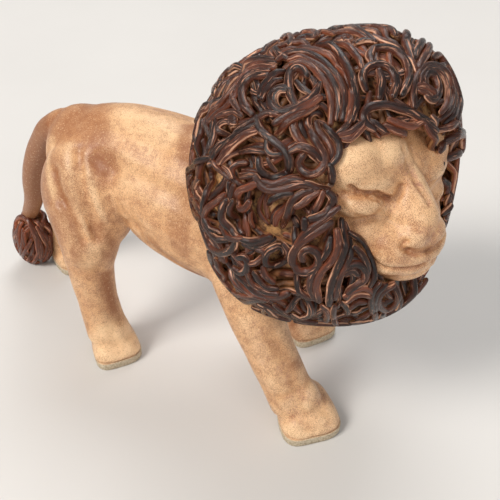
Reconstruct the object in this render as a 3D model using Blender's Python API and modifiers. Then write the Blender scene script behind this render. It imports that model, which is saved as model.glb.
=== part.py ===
"""A walking ceramic lion: a modelled body, and a mane and a tail tuft of applied clay coils.

The lion faces +X, its left side is +Y, and it stands on Z = 0. Every place on the figure is
given in figure millimetres, and MM turns one of them into metres, so the pose keeps its
proportions when the figure's length changes.
"""

import math

import bmesh
import bpy
import numpy as np
from mathutils import Matrix, Vector
from mathutils.kdtree import KDTree

# Driving sizes, in metres
FIGURE_LENGTH = 0.311
SOLE_THICKNESS = 0.0052
TAIL_THICKNESS = 0.0135
LOCK_WIDTH = 0.0112
LOCK_HEIGHT = 0.0066
COIL_LAYER = 0.0120
TUFT_COIL_THICKNESS = 0.0060
FIRING_GAP = 0.0004

# The figure's own millimetres: its length as it is drawn below, and one of them in metres
DRAWN_LENGTH = 368.3
MM = FIGURE_LENGTH / DRAWN_LENGTH
PAW_HEIGHT = 25

# How fine the clay is modelled, in metres, and how many triangles each solid keeps
CLAY_GRAIN = 0.0019
TUFT_GRAIN = 0.0013
BODY_TRIANGLES = 3000
MANE_TRIANGLES = 4500
TUFT_TRIANGLES = 460
INTEREST_PULL = 0.0002

# The head is turned to the lion's right; the mane is a ball round it
HEAD_CENTRE = (112, 0, 165)
HEAD_TURN_DEG = -25
HEAD_TILT_DEG = 9
MANE_CENTRE = (115, 0, 162)
MANE_RADII = (80, 81, 86)

# The mane is no true ball: it is flatter behind the crown and fuller over the left brow.
# Each bulge is a direction and the share of the radius that it adds there
MANE_BULGES = [
    ((-0.68, -0.20, 0.70), -0.05),
    ((-0.10, 0.36, 0.93), -0.06),
    ((0.52, 0.42, 0.74), 0.12),
    ((1.0, 0.05, -0.05), -0.07),
    ((-0.71, -0.67, -0.22), -0.08),
    ((-0.84, -0.48, 0.26), -0.04),
    ((0.25, -0.60, -0.76), -0.04),
    ((0.75, -0.35, -0.56), 0.04),
]


# The face's window in the mane, in degrees up from the face's axis and to its sides
WINDOW_MIDDLE = 6
WINDOW_HALF_HEIGHT = 36
WINDOW_HALF_WIDTH = 30
WINDOW_SPREAD = 18

COLOURS = {
    "body": ((0.62, 0.41, 0.22, 1), 0.55),
    "mane": ((0.055, 0.028, 0.022, 1), 0.3),
    "tail_tuft": ((0.075, 0.03, 0.022, 1), 0.3),
}


def figure(point):
    """A point of the figure, in metres."""
    return Vector(point) * MM


def clear_scene():
    for thing in list(bpy.data.objects):
        bpy.data.objects.remove(thing)


def collection(name):
    group = bpy.data.collections.new(name)
    bpy.context.scene.collection.children.link(group)
    return group


def put_in(group, thing):
    for old in list(thing.users_collection):
        old.objects.unlink(thing)
    group.objects.link(thing)
    return thing


def material(name):
    colour, roughness = COLOURS[name]
    made = bpy.data.materials.new(name)
    made.use_nodes = True
    shader = made.node_tree.nodes["Principled BSDF"]
    shader.inputs["Base Color"].default_value = colour
    shader.inputs["Roughness"].default_value = roughness
    return made


def mass(centre, radii, lean_deg=0):
    """A lump of clay: an ellipsoid with radii along X, Y and Z, leant about Y."""
    bpy.ops.mesh.primitive_uv_sphere_add(segments=32, ring_count=20, location=figure(centre))
    lump = bpy.context.object
    lump.scale = figure(radii)
    lump.rotation_euler.y = math.radians(lean_deg)
    return lump


def limb(stations, rings=8):
    """A round limb through stations of (point, radius), as a closed mesh."""
    curve = bpy.data.curves.new("limb", "CURVE")
    curve.dimensions = "3D"
    curve.bevel_depth = 1
    curve.bevel_resolution = 5
    curve.resolution_u = rings
    curve.use_fill_caps = True
    spline = curve.splines.new("BEZIER")
    spline.bezier_points.add(len(stations) - 1)
    for knot, (point, radius) in zip(spline.bezier_points, stations):
        knot.co = figure(point)
        knot.radius = radius * MM
        knot.handle_left_type = knot.handle_right_type = "AUTO"
    return as_mesh(curve)


def as_mesh(curve):
    """The mesh of a curve, with its end caps welded on."""
    guide = bpy.data.objects.new("guide", curve)
    bpy.context.scene.collection.objects.link(guide)
    bpy.context.view_layer.update()
    mesh = bpy.data.meshes.new_from_object(guide.evaluated_get(bpy.context.evaluated_depsgraph_get()))
    bpy.data.objects.remove(guide)
    weld = bmesh.new()
    weld.from_mesh(mesh)
    bmesh.ops.remove_doubles(weld, verts=weld.verts, dist=1e-5)
    bmesh.ops.recalc_face_normals(weld, faces=weld.faces)
    weld.to_mesh(mesh)
    weld.free()
    made = bpy.data.objects.new("limb", mesh)
    bpy.context.scene.collection.objects.link(made)
    return made


def join(pieces, name):
    bpy.ops.object.select_all(action="DESELECT")
    for piece in pieces:
        piece.select_set(True)
    bpy.context.view_layer.objects.active = pieces[0]
    bpy.ops.object.join()
    joined = bpy.context.object
    bpy.ops.object.transform_apply(location=True, rotation=True, scale=True)
    joined.name = name
    return joined


def apply_modifiers(thing):
    """Gives thing its evaluated mesh, and takes its modifiers off."""
    bpy.context.view_layer.update()
    mesh = bpy.data.meshes.new_from_object(thing.evaluated_get(bpy.context.evaluated_depsgraph_get()))
    thing.modifiers.clear()
    thing.data = mesh
    return thing


def fuse(thing, grain, rounding):
    """Presses joined lumps into one skin and rounds the creases where they meet."""
    clay = thing.modifiers.new("clay", "REMESH")
    clay.mode = "VOXEL"
    clay.voxel_size = grain
    smooth = thing.modifiers.new("rounding", "SMOOTH")
    smooth.factor = 0.5
    smooth.iterations = rounding
    return apply_modifiers(thing)


def thin_out(thing, triangles, interest=None):
    """Keeps about that many triangles, most of them where the form turns or interest is high."""
    count = sum(len(face.vertices) - 2 for face in thing.data.polygons)
    fewer = thing.modifiers.new("fewer", "DECIMATE")
    fewer.ratio = min(1, triangles / count)
    fewer.use_collapse_triangulate = True
    if interest:
        group = thing.vertex_groups.new(name="interest")
        for corner in thing.data.vertices:
            group.add([corner.index], interest(corner.co / MM), "REPLACE")
        fewer.vertex_group = "interest"
        fewer.vertex_group_factor = INTEREST_PULL
        fewer.invert_vertex_group = True
    return apply_modifiers(thing)


def cut(thing, operation, tool):
    """One exact Boolean, also where a coarse skin folds over itself, after which the tool is removed."""
    step = thing.modifiers.new("cut", "BOOLEAN")
    step.operation = operation
    step.solver = "EXACT"
    step.use_self = True
    step.object = tool
    apply_modifiers(thing)
    bpy.data.objects.remove(tool)
    return thing


def cut_level(thing, height):
    """Takes off everything below a height and closes the cut."""
    skin = bmesh.new()
    skin.from_mesh(thing.data)
    everything = skin.verts[:] + skin.edges[:] + skin.faces[:]
    level = Vector((0, 0, height))
    bmesh.ops.bisect_plane(skin, geom=everything, plane_co=level, plane_no=(0, 0, 1), clear_inner=True)
    bmesh.ops.holes_fill(skin, edges=[edge for edge in skin.edges if edge.is_boundary])
    bmesh.ops.triangulate(skin, faces=skin.faces)
    skin.to_mesh(thing.data)
    skin.free()
    return thing


# The paws: centre of the sole, half length, half width and the turn of the toes
PAWS = {
    "right_front": ((124, -38), 22, 19.5, -47),
    "left_front": ((88, 44), 22, 18, -38),
    "right_hind": ((-30, -37), 21, 17, -41),
    "left_hind": ((-127, 38), 21, 17, -26),
}


def sole_point(name, around, share=1, squareness=3.4, flare=0.12):
    """A point on the ground at an angle round a paw's outline, which is broader at the toes."""
    (x, y), half_length, half_width, turn_deg = PAWS[name]
    turn = math.radians(turn_deg)
    reach = (abs(math.cos(around)) ** squareness + abs(math.sin(around)) ** squareness) ** (-1 / squareness)
    along = half_length * share * reach * math.cos(around)
    across = half_width * share * reach * math.sin(around) * (1 + flare * math.cos(around))
    ahead = x + along * math.cos(turn) - across * math.sin(turn)
    return ahead, y + along * math.sin(turn) + across * math.cos(turn)


def sole(name, corners=24):
    """The flat pad of clay under a paw, standing on Z = 0."""
    bpy.ops.mesh.primitive_cylinder_add(vertices=corners, radius=1, depth=SOLE_THICKNESS)
    pad = bpy.context.object
    for corner in pad.data.vertices:
        x, y = sole_point(name, math.atan2(corner.co.y, corner.co.x))
        corner.co = (x * MM, y * MM, corner.co.z + SOLE_THICKNESS / 2)
    pad.location = (0, 0, 0)
    return pad


def paw(name):
    """The upper of a paw: a low dome on the outline of its sole, fullest over the toes."""
    bpy.ops.mesh.primitive_uv_sphere_add(segments=40, ring_count=24, location=(0, 0, 0))
    dome = bpy.context.object
    for corner in dome.data.vertices:
        around = math.atan2(corner.co.y, corner.co.x)
        level = max(-1, min(1, corner.co.z))
        share = (1 - abs(level) ** 2.4) ** (1 / 2.4)
        x, y = sole_point(name, around, max(share, 0.001))
        height = (PAW_HEIGHT - 3 * math.cos(around)) * level
        corner.co = figure((x, y, height))
    return [dome]


def torso():
    """The barrel of the body, from the rump to the base of the neck."""
    spine = [
        ((-55, 0, 143), 32),
        ((-40, 0, 142), 36.5),
        ((-10, 0, 143), 38),
        ((25, 0, 133), 46),
        ((58, 0, 128), 49),
        ((88, 0, 135), 46),
    ]
    return [limb(spine), mass((-56, 0, 144), (22, 29, 31))]


def hind_legs():
    right = [
        ((-44, -18, 142), 15),
        ((-39, -29, 122), 25),
        ((-34, -35, 106), 22),
        ((-36, -38, 78), 16),
        ((-35, -39, 50), 14),
        ((-32, -39, 18), 15),
    ]
    left = [
        ((-56, 18, 142), 15),
        ((-70, 28, 122), 23),
        ((-86, 34, 106), 20.5),
        ((-115, 38, 78), 15),
        ((-124, 38, 50), 13.5),
        ((-128, 38, 18), 15),
    ]
    return [
        limb(right),
        limb(left),
        mass((-38, -24, 126), (34, 25, 43), 12),
        mass((-57, 24, 124), (34, 25, 42), 24),
        mass((-44.5, -38, 64), (9, 9, 16)),
        mass((-128, 38, 64), (9, 9, 16)),
        mass((-31, -38, 22), (16, 13, 18), -30),
        mass((-128, 38, 22), (16, 13, 18), -26),
    ]


def front_legs():
    right = [
        ((70, -20, 134), 14),
        ((80, -33, 112), 21),
        ((87, -38, 92), 18),
        ((100, -41, 60), 15.8),
        ((112, -42, 32), 15.5),
        ((116, -41, 16), 15),
    ]
    left = [
        ((66, 20, 134), 14),
        ((69, 33, 112), 21),
        ((71, 38, 92), 18),
        ((75, 41, 60), 16),
        ((79, 41, 32), 15.5),
        ((81, 42, 16), 15),
    ]
    return [
        limb(right),
        limb(left),
        mass((74, -25, 122), (32, 24, 38), -14),
        mass((68, 25, 122), (32, 24, 38), -8),
        mass((98, 0, 108), (22, 32, 28)),
        mass((117, -41, 23), (18, 13, 19), -32),
        mass((81, 41, 23), (18, 13, 19), -28),
    ]


TAIL_END = (-148, 22, 52)
TUFT_TOP = (-140, 18, 60)
TUFT_FOOT = (-157, 27, -2)
TUFT_COILS = 9


def tail():
    half = TAIL_THICKNESS / 2 / MM
    path = [
        ((-48, 0, 156), half * 1.6),
        ((-66, 0, 161), half * 1.25),
        ((-80, 0, 155), half * 1.25),
        ((-94, 2, 141), half * 1.15),
        ((-109, 5, 121), half * 1.05),
        ((-121, 9, 99), half),
        ((-130, 14, 78), half * 0.95),
        (TAIL_END, half * 0.85),
    ]
    return [limb(path)]


def in_head(forward, left, up):
    """A figure point from the head's own directions, measured from its centre."""
    tilt = math.radians(HEAD_TILT_DEG)
    left, up = left * math.cos(tilt) + up * math.sin(tilt), up * math.cos(tilt) - left * math.sin(tilt)
    turn = math.radians(HEAD_TURN_DEG)
    ahead = Vector((math.cos(turn), math.sin(turn), 0))
    side = Vector((-math.sin(turn), math.cos(turn), 0))
    return Vector(HEAD_CENTRE) + ahead * forward + side * left + Vector((0, 0, up))


def head_mass(centre, radii, lean_deg=0):
    lump = mass(in_head(*centre), radii, lean_deg)
    lump.rotation_euler = (math.radians(-HEAD_TILT_DEG), math.radians(lean_deg), math.radians(HEAD_TURN_DEG))
    return lump


def head_limb(stations):
    return limb([(in_head(*point), radius) for point, radius in stations])


def on_ball(direction, radii):
    return Vector([direction[axis] * radii[axis] for axis in range(3)])


def mane_point(direction, below):
    """The figure point that lies below the mane's outer skin in a unit direction."""
    size = 1 + sum(amount * max(0, direction.dot(Vector(way))) ** 8 for way, amount in MANE_BULGES)
    radii = [radius * size for radius in MANE_RADII]
    if below < COIL_LAYER / MM and in_window(on_ball(direction, radii)):
        below = 0.5 * MANE_RADII[0]
    return Vector(MANE_CENTRE) + on_ball(direction, [radius - below for radius in radii])


def head_ball():
    """The ball of clay that the mane's coils are pressed onto."""
    bpy.ops.mesh.primitive_uv_sphere_add(segments=40, ring_count=24, location=(0, 0, 0))
    ball = bpy.context.object
    for corner in ball.data.vertices:
        corner.co = mane_point(corner.co.normalized(), COIL_LAYER / MM) * MM
    return ball


def head():
    """The ball that carries the mane, and the face that stands out of it."""
    pieces = [
        head_ball(),
        head_mass((21, 0, 20), (49, 57, 41)),
        head_limb([((34, 0, 42), 12), ((52, 0, 32), 12.5), ((64, 0, 19), 12), ((74, 0, 6), 13.5), ((79, 0, -5), 8)]),
        head_mass((68, 0, -10), (21, 23, 15)),
        head_mass((67, 5, -22), (16, 20, 9)),
        head_mass((24, 0, -14), (36, 28, 28)),
        head_limb([((61, -9, 25), 6), ((61, -17, 27), 8), ((58, -27, 29), 9), ((50, -37, 28), 8), ((37, -45, 22), 5)]),
        head_mass((51, -26, 34), (15, 20, 15)),
        head_mass((52, -12, 38), (15.5, 16, 13)),
        head_mass((59, -27, 17.5), (11, 14, 7.5)),
        head_limb([((60, 8, 25), 6.5), ((61, 18, 26), 9), ((57, 26, 25), 9.5), ((42, 39, 22), 6)]),
        head_mass((52, 20, 32), (14.5, 18, 14)),
        head_mass((56, 27, 9), (10.5, 12, 9.5)),
        head_mass((53, 25, 16), (11, 13, 12)),
    ]
    for side in (-1, 1):
        pieces += [
            head_mass((57, 13 * side, 8), (10, 9, 10)),
            head_mass((66, 12 * side, -8), (19, 15, 16)),
            head_mass((78, 6 * side, 2), (10, 10, 8.5)),
            head_mass((53, 19 * side, -4), (20, 18, 19)),
            head_mass((42, 22 * side, -4), (20, 19, 20)),
        ]
    return pieces


def seen_share(place):
    """How closely a place of the body is looked at: the face most, the ball in the mane least."""
    if in_window(place - Vector(MANE_CENTRE), 6):
        return 0.9
    out = place - Vector(MANE_CENTRE)
    away = math.sqrt(sum((out[axis] / MANE_RADII[axis]) ** 2 for axis in range(3)))
    return 0.02 if away < 0.93 else 0.4


def in_window(out, margin=0):
    """Whether a direction from the mane's centre passes through the face's window."""
    turn = math.radians(-HEAD_TURN_DEG)
    forward = out.x * math.cos(turn) - out.y * math.sin(turn)
    left = out.x * math.sin(turn) + out.y * math.cos(turn)
    aside = math.degrees(math.atan2(left, forward))
    up = math.degrees(math.atan2(out.z, math.hypot(forward, left))) + HEAD_TILT_DEG * left / 70
    rise = (up - WINDOW_MIDDLE) / (WINDOW_HALF_HEIGHT + margin)
    width = WINDOW_HALF_WIDTH + WINDOW_SPREAD * rise + margin
    return rise**2 + (aside / width) ** 2 < 1


def body():
    pieces = torso() + hind_legs() + front_legs() + tail() + head()
    for name in PAWS:
        pieces += paw(name)
    whole = fuse(join(pieces, "body"), CLAY_GRAIN, 8)
    thin_out(whole, BODY_TRIANGLES, seen_share)
    cut_level(whole, SOLE_THICKNESS / 2)
    for name in PAWS:
        cut(whole, "UNION", sole(name))
    return whole


# The mane's drawn locks: where each starts on the ball (degrees to the left of the face and up),
# its heading there (degrees, 0 to the left and 90 up), its length, and how far it turns on the way
DRAWN_LOCKS = [
    (-15, 44, 130, 78, -175),
    (-90, 68, 0, 66, -85),
    (-30, 76, 290, 50, -20),
    (-72, 60, 80, 56, -330),
    (-88, 60, 205, 46, 110),
    (-68, 50, 205, 46, 30),
    (-66, 47, 325, 62, -270),
    (-52, 36, 90, 44, -290),
    (-108, 28, 250, 62, 110),
    (-62, 31, 310, 50, 60),
    (-37, 19, 222, 60, 330),
    (-32, 14, 262, 46, -15),
    (-88, -8, 275, 60, 85),
    (-62, 6, 0, 38, -300),
    (-74, -4, 180, 36, 290),
    (-92, 18, 265, 42, 80),
    (-70, 26, 250, 38, 60),
    (-56, 22, 230, 36, -60),
    (30, 48, 80, 54, -200),
    (33, 32, 45, 34, -200),
    (-3, 57, 130, 42, -230),
    (15, 74, 0, 46, -130),
    (-62, -32, 250, 38, 300),
    (-30, -24, 200, 44, 280),
    (-4, -32, 300, 44, -260),
    (14, -26, 40, 40, 200),
]
LATTICE = 240
LOCK_SPACING = 14.5


def lock(left_deg, up_deg, heading_deg, length, turn_deg, steps=14):
    """Unit directions along a lock that curls evenly as it runs over the ball."""
    left, up = math.radians(left_deg + HEAD_TURN_DEG), math.radians(up_deg)
    place = Vector((math.cos(up) * math.cos(left), math.cos(up) * math.sin(left), math.sin(up)))
    east = Vector((-math.sin(left), math.cos(left), 0))
    heading = math.radians(heading_deg)
    ahead = east * math.cos(heading) + place.cross(east) * math.sin(heading)
    stride = length / steps / MANE_RADII[1]
    path = [place.copy()]
    for _ in range(steps):
        place = (place + ahead * stride).normalized()
        ahead = (ahead - place * ahead.dot(place)).normalized()
        ahead = Matrix.Rotation(math.radians(turn_deg / steps), 3, place) @ ahead
        path.append(place.copy())
    return path


def lattice_place(number):
    """One of LATTICE evenly spread places on the ball, in degrees to the left and up."""
    up = math.asin(1 - (2 * number + 1) / LATTICE)
    return (number * 137.508) % 360 - 180, math.degrees(up)


def mane_locks():
    """Every lock of the mane: the drawn ones, and curls wherever they leave room."""
    locks = [lock(*numbers) for numbers in DRAWN_LOCKS]
    taken = [place for path in locks for place in path]
    for number in range(LATTICE):
        left, up = lattice_place(number)
        start = lock(left, up, 0, 1, 0)[0]
        nearest = min((start - place).length for place in taken)
        if nearest < LOCK_SPACING / MANE_RADII[1]:
            continue
        hand = 1 if number % 2 else -1
        curl = lock(left, up, 80 + 137 * number, 46 + 6 * (number % 3), hand * (110 + 35 * (number % 3)))
        locks.append(curl)
        taken += curl
    return locks


def mane(body_skin):
    """A thick shell of locks round the head, cut away where the head and neck come through it."""
    bpy.ops.mesh.primitive_ico_sphere_add(subdivisions=7, radius=1)
    shell = bpy.context.object
    places = [place for path in mane_locks() for place in path]
    tree = KDTree(len(places))
    for index, place in enumerate(places):
        tree.insert(place, index)
    tree.balance()
    half_width = LOCK_WIDTH / 2 / MM / MANE_RADII[1]
    rise = LOCK_HEIGHT / MM
    for corner in shell.data.vertices:
        distance = tree.find(corner.co)[2]
        valley = min(1, distance / half_width) ** 2
        corner.co = mane_point(corner.co, rise * valley) * MM
    smooth = shell.modifiers.new("rounding", "SMOOTH")
    smooth.factor = 0.5
    smooth.iterations = 2
    apply_modifiers(shell)
    shell.name = "mane"
    thin_out(shell, MANE_TRIANGLES)
    cut(shell, "DIFFERENCE", grown(body_skin, FIRING_GAP))
    return shell


def tuft(body_skin):
    """The tail's tuft: thick coils that run down to the table round a core, and turn under."""
    coil = TUFT_COIL_THICKNESS / 2 / MM
    top, foot = Vector(TUFT_TOP), Vector(TUFT_FOOT)
    pieces = [mass(top.lerp(foot, 0.62) + Vector((0, 0, 3)), (11, 11, 30), -8)]
    for number in range(TUFT_COILS):
        around = math.tau * number / TUFT_COILS
        path = []
        for step in range(7):
            share = step / 6
            spread = (4 + 9.4 * math.sin(math.pi * min(1, share * 0.62 + 0.08))) * (1 + 0.12 * math.cos(3 * around))
            turned = around + 0.9 * share * (1 if number % 2 else -1)
            centre = top.lerp(foot, share)
            path.append((centre + Vector((math.cos(turned), math.sin(turned), 0)) * spread, coil * (1 + 0.25 * share)))
        pieces.append(limb(path, rings=5))
    whole = fuse(join(pieces, "tail_tuft"), TUFT_GRAIN, 2)
    cut_level(whole, 0)
    thin_out(whole, TUFT_TRIANGLES)
    flatten_foot(whole)
    cut(whole, "DIFFERENCE", grown(body_skin, FIRING_GAP))
    return whole


def flatten_foot(thing):
    """Brings every corner that is a hair off the table back onto it."""
    for corner in thing.data.vertices:
        if corner.co.z < 0.0003:
            corner.co.z = 0


def grown(thing, distance):
    """A copy whose skin stands out by distance, to cut room for thing out of its neighbour."""
    bigger = thing.copy()
    bigger.data = thing.data.copy()
    bpy.context.scene.collection.objects.link(bigger)
    skin = bmesh.new()
    skin.from_mesh(bigger.data)
    skin.normal_update()
    places = [corner.co + corner.normal * distance * corner.calc_shell_factor() for corner in skin.verts]
    for corner, place in zip(skin.verts, places):
        corner.co = place
    skin.to_mesh(bigger.data)
    skin.free()
    return bigger


def loose_parts(thing):
    skin = bmesh.new()
    skin.from_mesh(thing.data)
    waiting = set(skin.verts)
    parts = []
    while waiting:
        part = []
        front = [waiting.pop()]
        while front:
            corner = front.pop()
            part.append(corner)
            for edge in corner.link_edges:
                other = edge.other_vert(corner)
                if other in waiting:
                    waiting.remove(other)
                    front.append(other)
        parts.append(part)
    return skin, parts


def keep_largest(thing):
    """Drops the crumbs that a cut leaves beside the piece itself."""
    skin, parts = loose_parts(thing)
    largest = max(parts, key=len)
    crumbs = [corner for part in parts if part is not largest for corner in part]
    bmesh.ops.delete(skin, geom=crumbs, context="VERTS")
    skin.to_mesh(thing.data)
    skin.free()
    return thing


def centre_on_origin(things):
    """Moves the pieces so that the origin is under the middle of the whole figure."""
    corners = np.array([corner.co[:] for thing in things for corner in thing.data.vertices])
    middle = (corners.min(axis=0) + corners.max(axis=0)) / 2
    for thing in things:
        thing.data.transform(Matrix.Translation((-middle[0], -middle[1], -corners[:, 2].min())))


def main():
    clear_scene()
    lion = collection("ceramic_lion")
    whole = body()
    done = {"body": whole, "mane": keep_largest(mane(whole)), "tail_tuft": keep_largest(tuft(whole))}
    centre_on_origin(done.values())
    for name, thing in done.items():
        put_in(lion, thing)
        thing.data.materials.clear()
        thing.data.materials.append(material(name))


main()
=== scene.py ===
"""The looks of a walking ceramic lion: a tan glazed body, and a mane and a tail tuft of dark clay coils.

The lion faces +X and its left side is +Y. Places are in figure millimetres, as they are in the solids'
own source, and MM turns one of them into metres. Where a place was read off the photograph, it is a
pixel of its 500 x 500 frame, and a ray from the camera carries it onto the clay.
"""

import math

import bpy
import numpy as np
from mathutils import Matrix, Vector
from mathutils.bvhtree import BVHTree
from mathutils.kdtree import KDTree


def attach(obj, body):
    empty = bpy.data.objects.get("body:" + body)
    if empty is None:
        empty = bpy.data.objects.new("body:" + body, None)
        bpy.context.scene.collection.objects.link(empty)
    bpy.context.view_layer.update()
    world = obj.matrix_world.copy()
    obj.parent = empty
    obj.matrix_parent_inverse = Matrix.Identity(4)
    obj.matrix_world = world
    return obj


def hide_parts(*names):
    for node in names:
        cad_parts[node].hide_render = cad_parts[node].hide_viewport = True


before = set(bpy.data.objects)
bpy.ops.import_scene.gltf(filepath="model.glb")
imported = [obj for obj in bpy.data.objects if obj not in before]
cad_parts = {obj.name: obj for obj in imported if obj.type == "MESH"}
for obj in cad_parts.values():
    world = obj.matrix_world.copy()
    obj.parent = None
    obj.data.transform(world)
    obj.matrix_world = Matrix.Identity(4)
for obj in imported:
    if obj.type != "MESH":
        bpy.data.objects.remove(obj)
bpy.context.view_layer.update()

# The lion's length in metres and as it is drawn, which takes figure millimetres to metres
FIGURE_LENGTH = 0.311
DRAWN_LENGTH = 368.3
MM = FIGURE_LENGTH / DRAWN_LENGTH
FIGURE_MIDDLE = Vector((10.55, 0.03, 0))

# Real millimetres in a figure millimetre, for what was measured as a real size
REAL_MM = 0.8445
SOLE_THICKNESS = 5.2 / REAL_MM

# How fine the clay is, and how widely its creases are rounded, in figure millimetres
TRUNK_GRAIN = 1.35
TRUNK_ROUNDING = 36
FACE_GRAIN = 0.82
FACE_ROUNDING = 18


# Placing and meshes

def figure(point):
    """A point of the figure, in metres from the scene's own origin."""
    return (Vector(point) - FIGURE_MIDDLE) * MM


def deselect():
    bpy.ops.object.select_all(action="DESELECT")


def pick(thing):
    deselect()
    thing.select_set(True)
    bpy.context.view_layer.objects.active = thing


def start_edit(thing):
    """Goes into edit mode with all of a mesh selected."""
    pick(thing)
    bpy.ops.object.mode_set(mode="EDIT")
    bpy.ops.mesh.select_all(action="SELECT")


def end_edit():
    bpy.ops.object.mode_set(mode="OBJECT")


def join(pieces, name):
    deselect()
    for piece in pieces:
        piece.select_set(True)
    bpy.context.view_layer.objects.active = pieces[0]
    bpy.ops.object.join()
    whole = bpy.context.object
    bpy.ops.object.transform_apply(location=True, rotation=True, scale=True)
    whole.name = name
    return whole


def modify(thing, kind, **settings):
    """Adds one modifier and applies it."""
    pick(thing)
    bpy.ops.object.modifier_add(type=kind)
    step = thing.modifiers[-1]
    for setting, value in settings.items():
        setattr(step, setting, value)
    bpy.ops.object.modifier_apply(modifier=step.name)


def corners_of(thing):
    """All corners of a mesh, in figure millimetres."""
    flat = np.empty(len(thing.data.vertices) * 3)
    thing.data.vertices.foreach_get("co", flat)
    return flat.reshape(-1, 3) / MM + np.array(FIGURE_MIDDLE)


def set_corners(thing, places):
    thing.data.vertices.foreach_set("co", ((places - np.array(FIGURE_MIDDLE)) * MM).ravel())
    thing.data.update()


def normals_of(thing):
    flat = np.empty(len(thing.data.vertices) * 3)
    thing.data.vertices.foreach_get("normal", flat)
    return flat.reshape(-1, 3)


def edge_ends(thing):
    """The corners at the two ends of every edge."""
    flat = np.empty(len(thing.data.edges) * 2, dtype=np.int64)
    thing.data.edges.foreach_get("vertices", flat)
    return flat.reshape(-1, 2).T


def evened(values, ends, steps):
    """Each corner's value, taken as its neighbours' mean again and again."""
    first, second = ends
    size = len(values)
    count = np.bincount(first, minlength=size) + np.bincount(second, minlength=size)
    for _ in range(steps):
        total = np.bincount(first, values[second], size) + np.bincount(second, values[first], size)
        values = total / np.maximum(count, 1)
    return values


def unit(ways):
    return ways / np.linalg.norm(ways, axis=-1, keepdims=True)


def make_ball(fineness):
    """A ball, and the unit direction of each of its corners."""
    bpy.ops.mesh.primitive_ico_sphere_add(subdivisions=fineness, radius=1)
    ball = bpy.context.object
    flat = np.empty(len(ball.data.vertices) * 3)
    ball.data.vertices.foreach_get("co", flat)
    return ball, unit(flat.reshape(-1, 3))


def paint(thing, name, values):
    """Keeps one number for each corner, for the material to read."""
    layer = thing.data.attributes.new(name, "FLOAT", "POINT")
    layer.data.foreach_set("value", np.ascontiguousarray(values, dtype=np.float32))


def ease(value, low, high):
    """0 up to low, 1 from high, and a soft step between."""
    share = np.clip((value - low) / (high - low), 0, 1)
    return share * share * (3 - 2 * share)


# The camera, as the photograph was taken
CAMERA_PLACE = (256, -340, 390)
CAMERA_TURN_DEG = 29
CAMERA_PITCH_DEG = 37.04
CAMERA_ROLL_DEG = 3
FOCAL_PIXELS = 750
FRAME_MIDDLE = 250
SENSOR_WIDTH = 36

# Where the lion's body is seen, for pixels that miss its skin
LION_MIDDLE = (60, -30, 100)


def make_camera():
    turn = Matrix.Rotation(math.radians(CAMERA_TURN_DEG), 4, "Z")
    pitch = Matrix.Rotation(math.radians(90 - CAMERA_PITCH_DEG), 4, "X")
    roll = Matrix.Rotation(math.radians(-CAMERA_ROLL_DEG), 4, "Z")
    bpy.ops.object.camera_add()
    camera = bpy.context.object
    camera.name = "camera"
    camera.matrix_world = Matrix.Translation(figure(CAMERA_PLACE)) @ turn @ pitch @ roll
    camera.data.sensor_width = SENSOR_WIDTH
    camera.data.lens = SENSOR_WIDTH * FOCAL_PIXELS / (2 * FRAME_MIDDLE)
    camera.data.clip_start = 0.01
    bpy.context.scene.camera = camera
    bpy.context.view_layer.update()
    return camera


camera = make_camera()
VIEW = camera.matrix_world.to_3x3()


def sight(pixel):
    """The direction in which the camera sees a pixel of the photograph."""
    across = (pixel[0] - FRAME_MIDDLE) / FOCAL_PIXELS
    down = (pixel[1] - FRAME_MIDDLE) / FOCAL_PIXELS
    return (VIEW @ Vector((across, -down, -1))).normalized()


def seen_on(skin, pixels):
    """Where the camera sees these pixels on a skin, in figure millimetres."""
    start = figure(CAMERA_PLACE)
    places = []
    for pixel in pixels:
        ahead = sight(pixel)
        hit = skin.ray_cast(start, ahead)[0]
        if hit is None:
            reach = start + ahead * (figure(LION_MIDDLE) - start).dot(ahead)
            hit = skin.find_nearest(reach)[0]
        places.append(hit / MM + FIGURE_MIDDLE)
    return places


# Lumps of clay

def mass(centre, radii, turn=(0, 0, 0)):
    bpy.ops.mesh.primitive_uv_sphere_add(
        segments=48, ring_count=32, location=figure(centre), rotation=turn, scale=Vector(radii) * MM
    )
    return bpy.context.object


def limb(stations):
    """A round limb through stations of (point, radius)."""
    guide = bpy.data.curves.new("limb", "CURVE")
    guide.dimensions = "3D"
    guide.bevel_depth = 1
    guide.bevel_resolution = 7
    guide.resolution_u = 10
    guide.use_fill_caps = True
    spline = guide.splines.new("BEZIER")
    spline.bezier_points.add(len(stations) - 1)
    for knot, (point, radius) in zip(spline.bezier_points, stations):
        knot.co = figure(point)
        knot.radius = radius * MM
        knot.handle_left_type = knot.handle_right_type = "AUTO"
    limb_thing = bpy.data.objects.new("limb", guide)
    bpy.context.scene.collection.objects.link(limb_thing)
    pick(limb_thing)
    bpy.ops.object.convert(target="MESH")
    limb_thing = bpy.context.object
    start_edit(limb_thing)
    bpy.ops.mesh.remove_doubles(threshold=1e-5)
    bpy.ops.mesh.normals_make_consistent(inside=False)
    end_edit()
    return limb_thing


def fuse(pieces, name, grain, rounding):
    """Presses lumps into one skin and rounds the creases where they meet."""
    whole = join(pieces, name)
    modify(whole, "REMESH", mode="VOXEL", voxel_size=grain * MM)
    modify(whole, "SMOOTH", factor=0.5, iterations=round(rounding / grain**2))
    return whole


def stand_flat(thing):
    """Cuts the clay level with the ground and closes the cut."""
    start_edit(thing)
    bpy.ops.mesh.bisect(plane_co=(0, 0, 0), plane_no=(0, 0, 1), clear_inner=True, use_fill=True)
    bpy.ops.mesh.select_all(action="DESELECT")
    end_edit()


# The paws are rounded oblongs, broader at the toes
PAW_HEIGHT = 25
PAW_SQUARENESS = 3.4
PAW_FLARE = 0.12
DOME_SQUARENESS = 2.4

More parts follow.
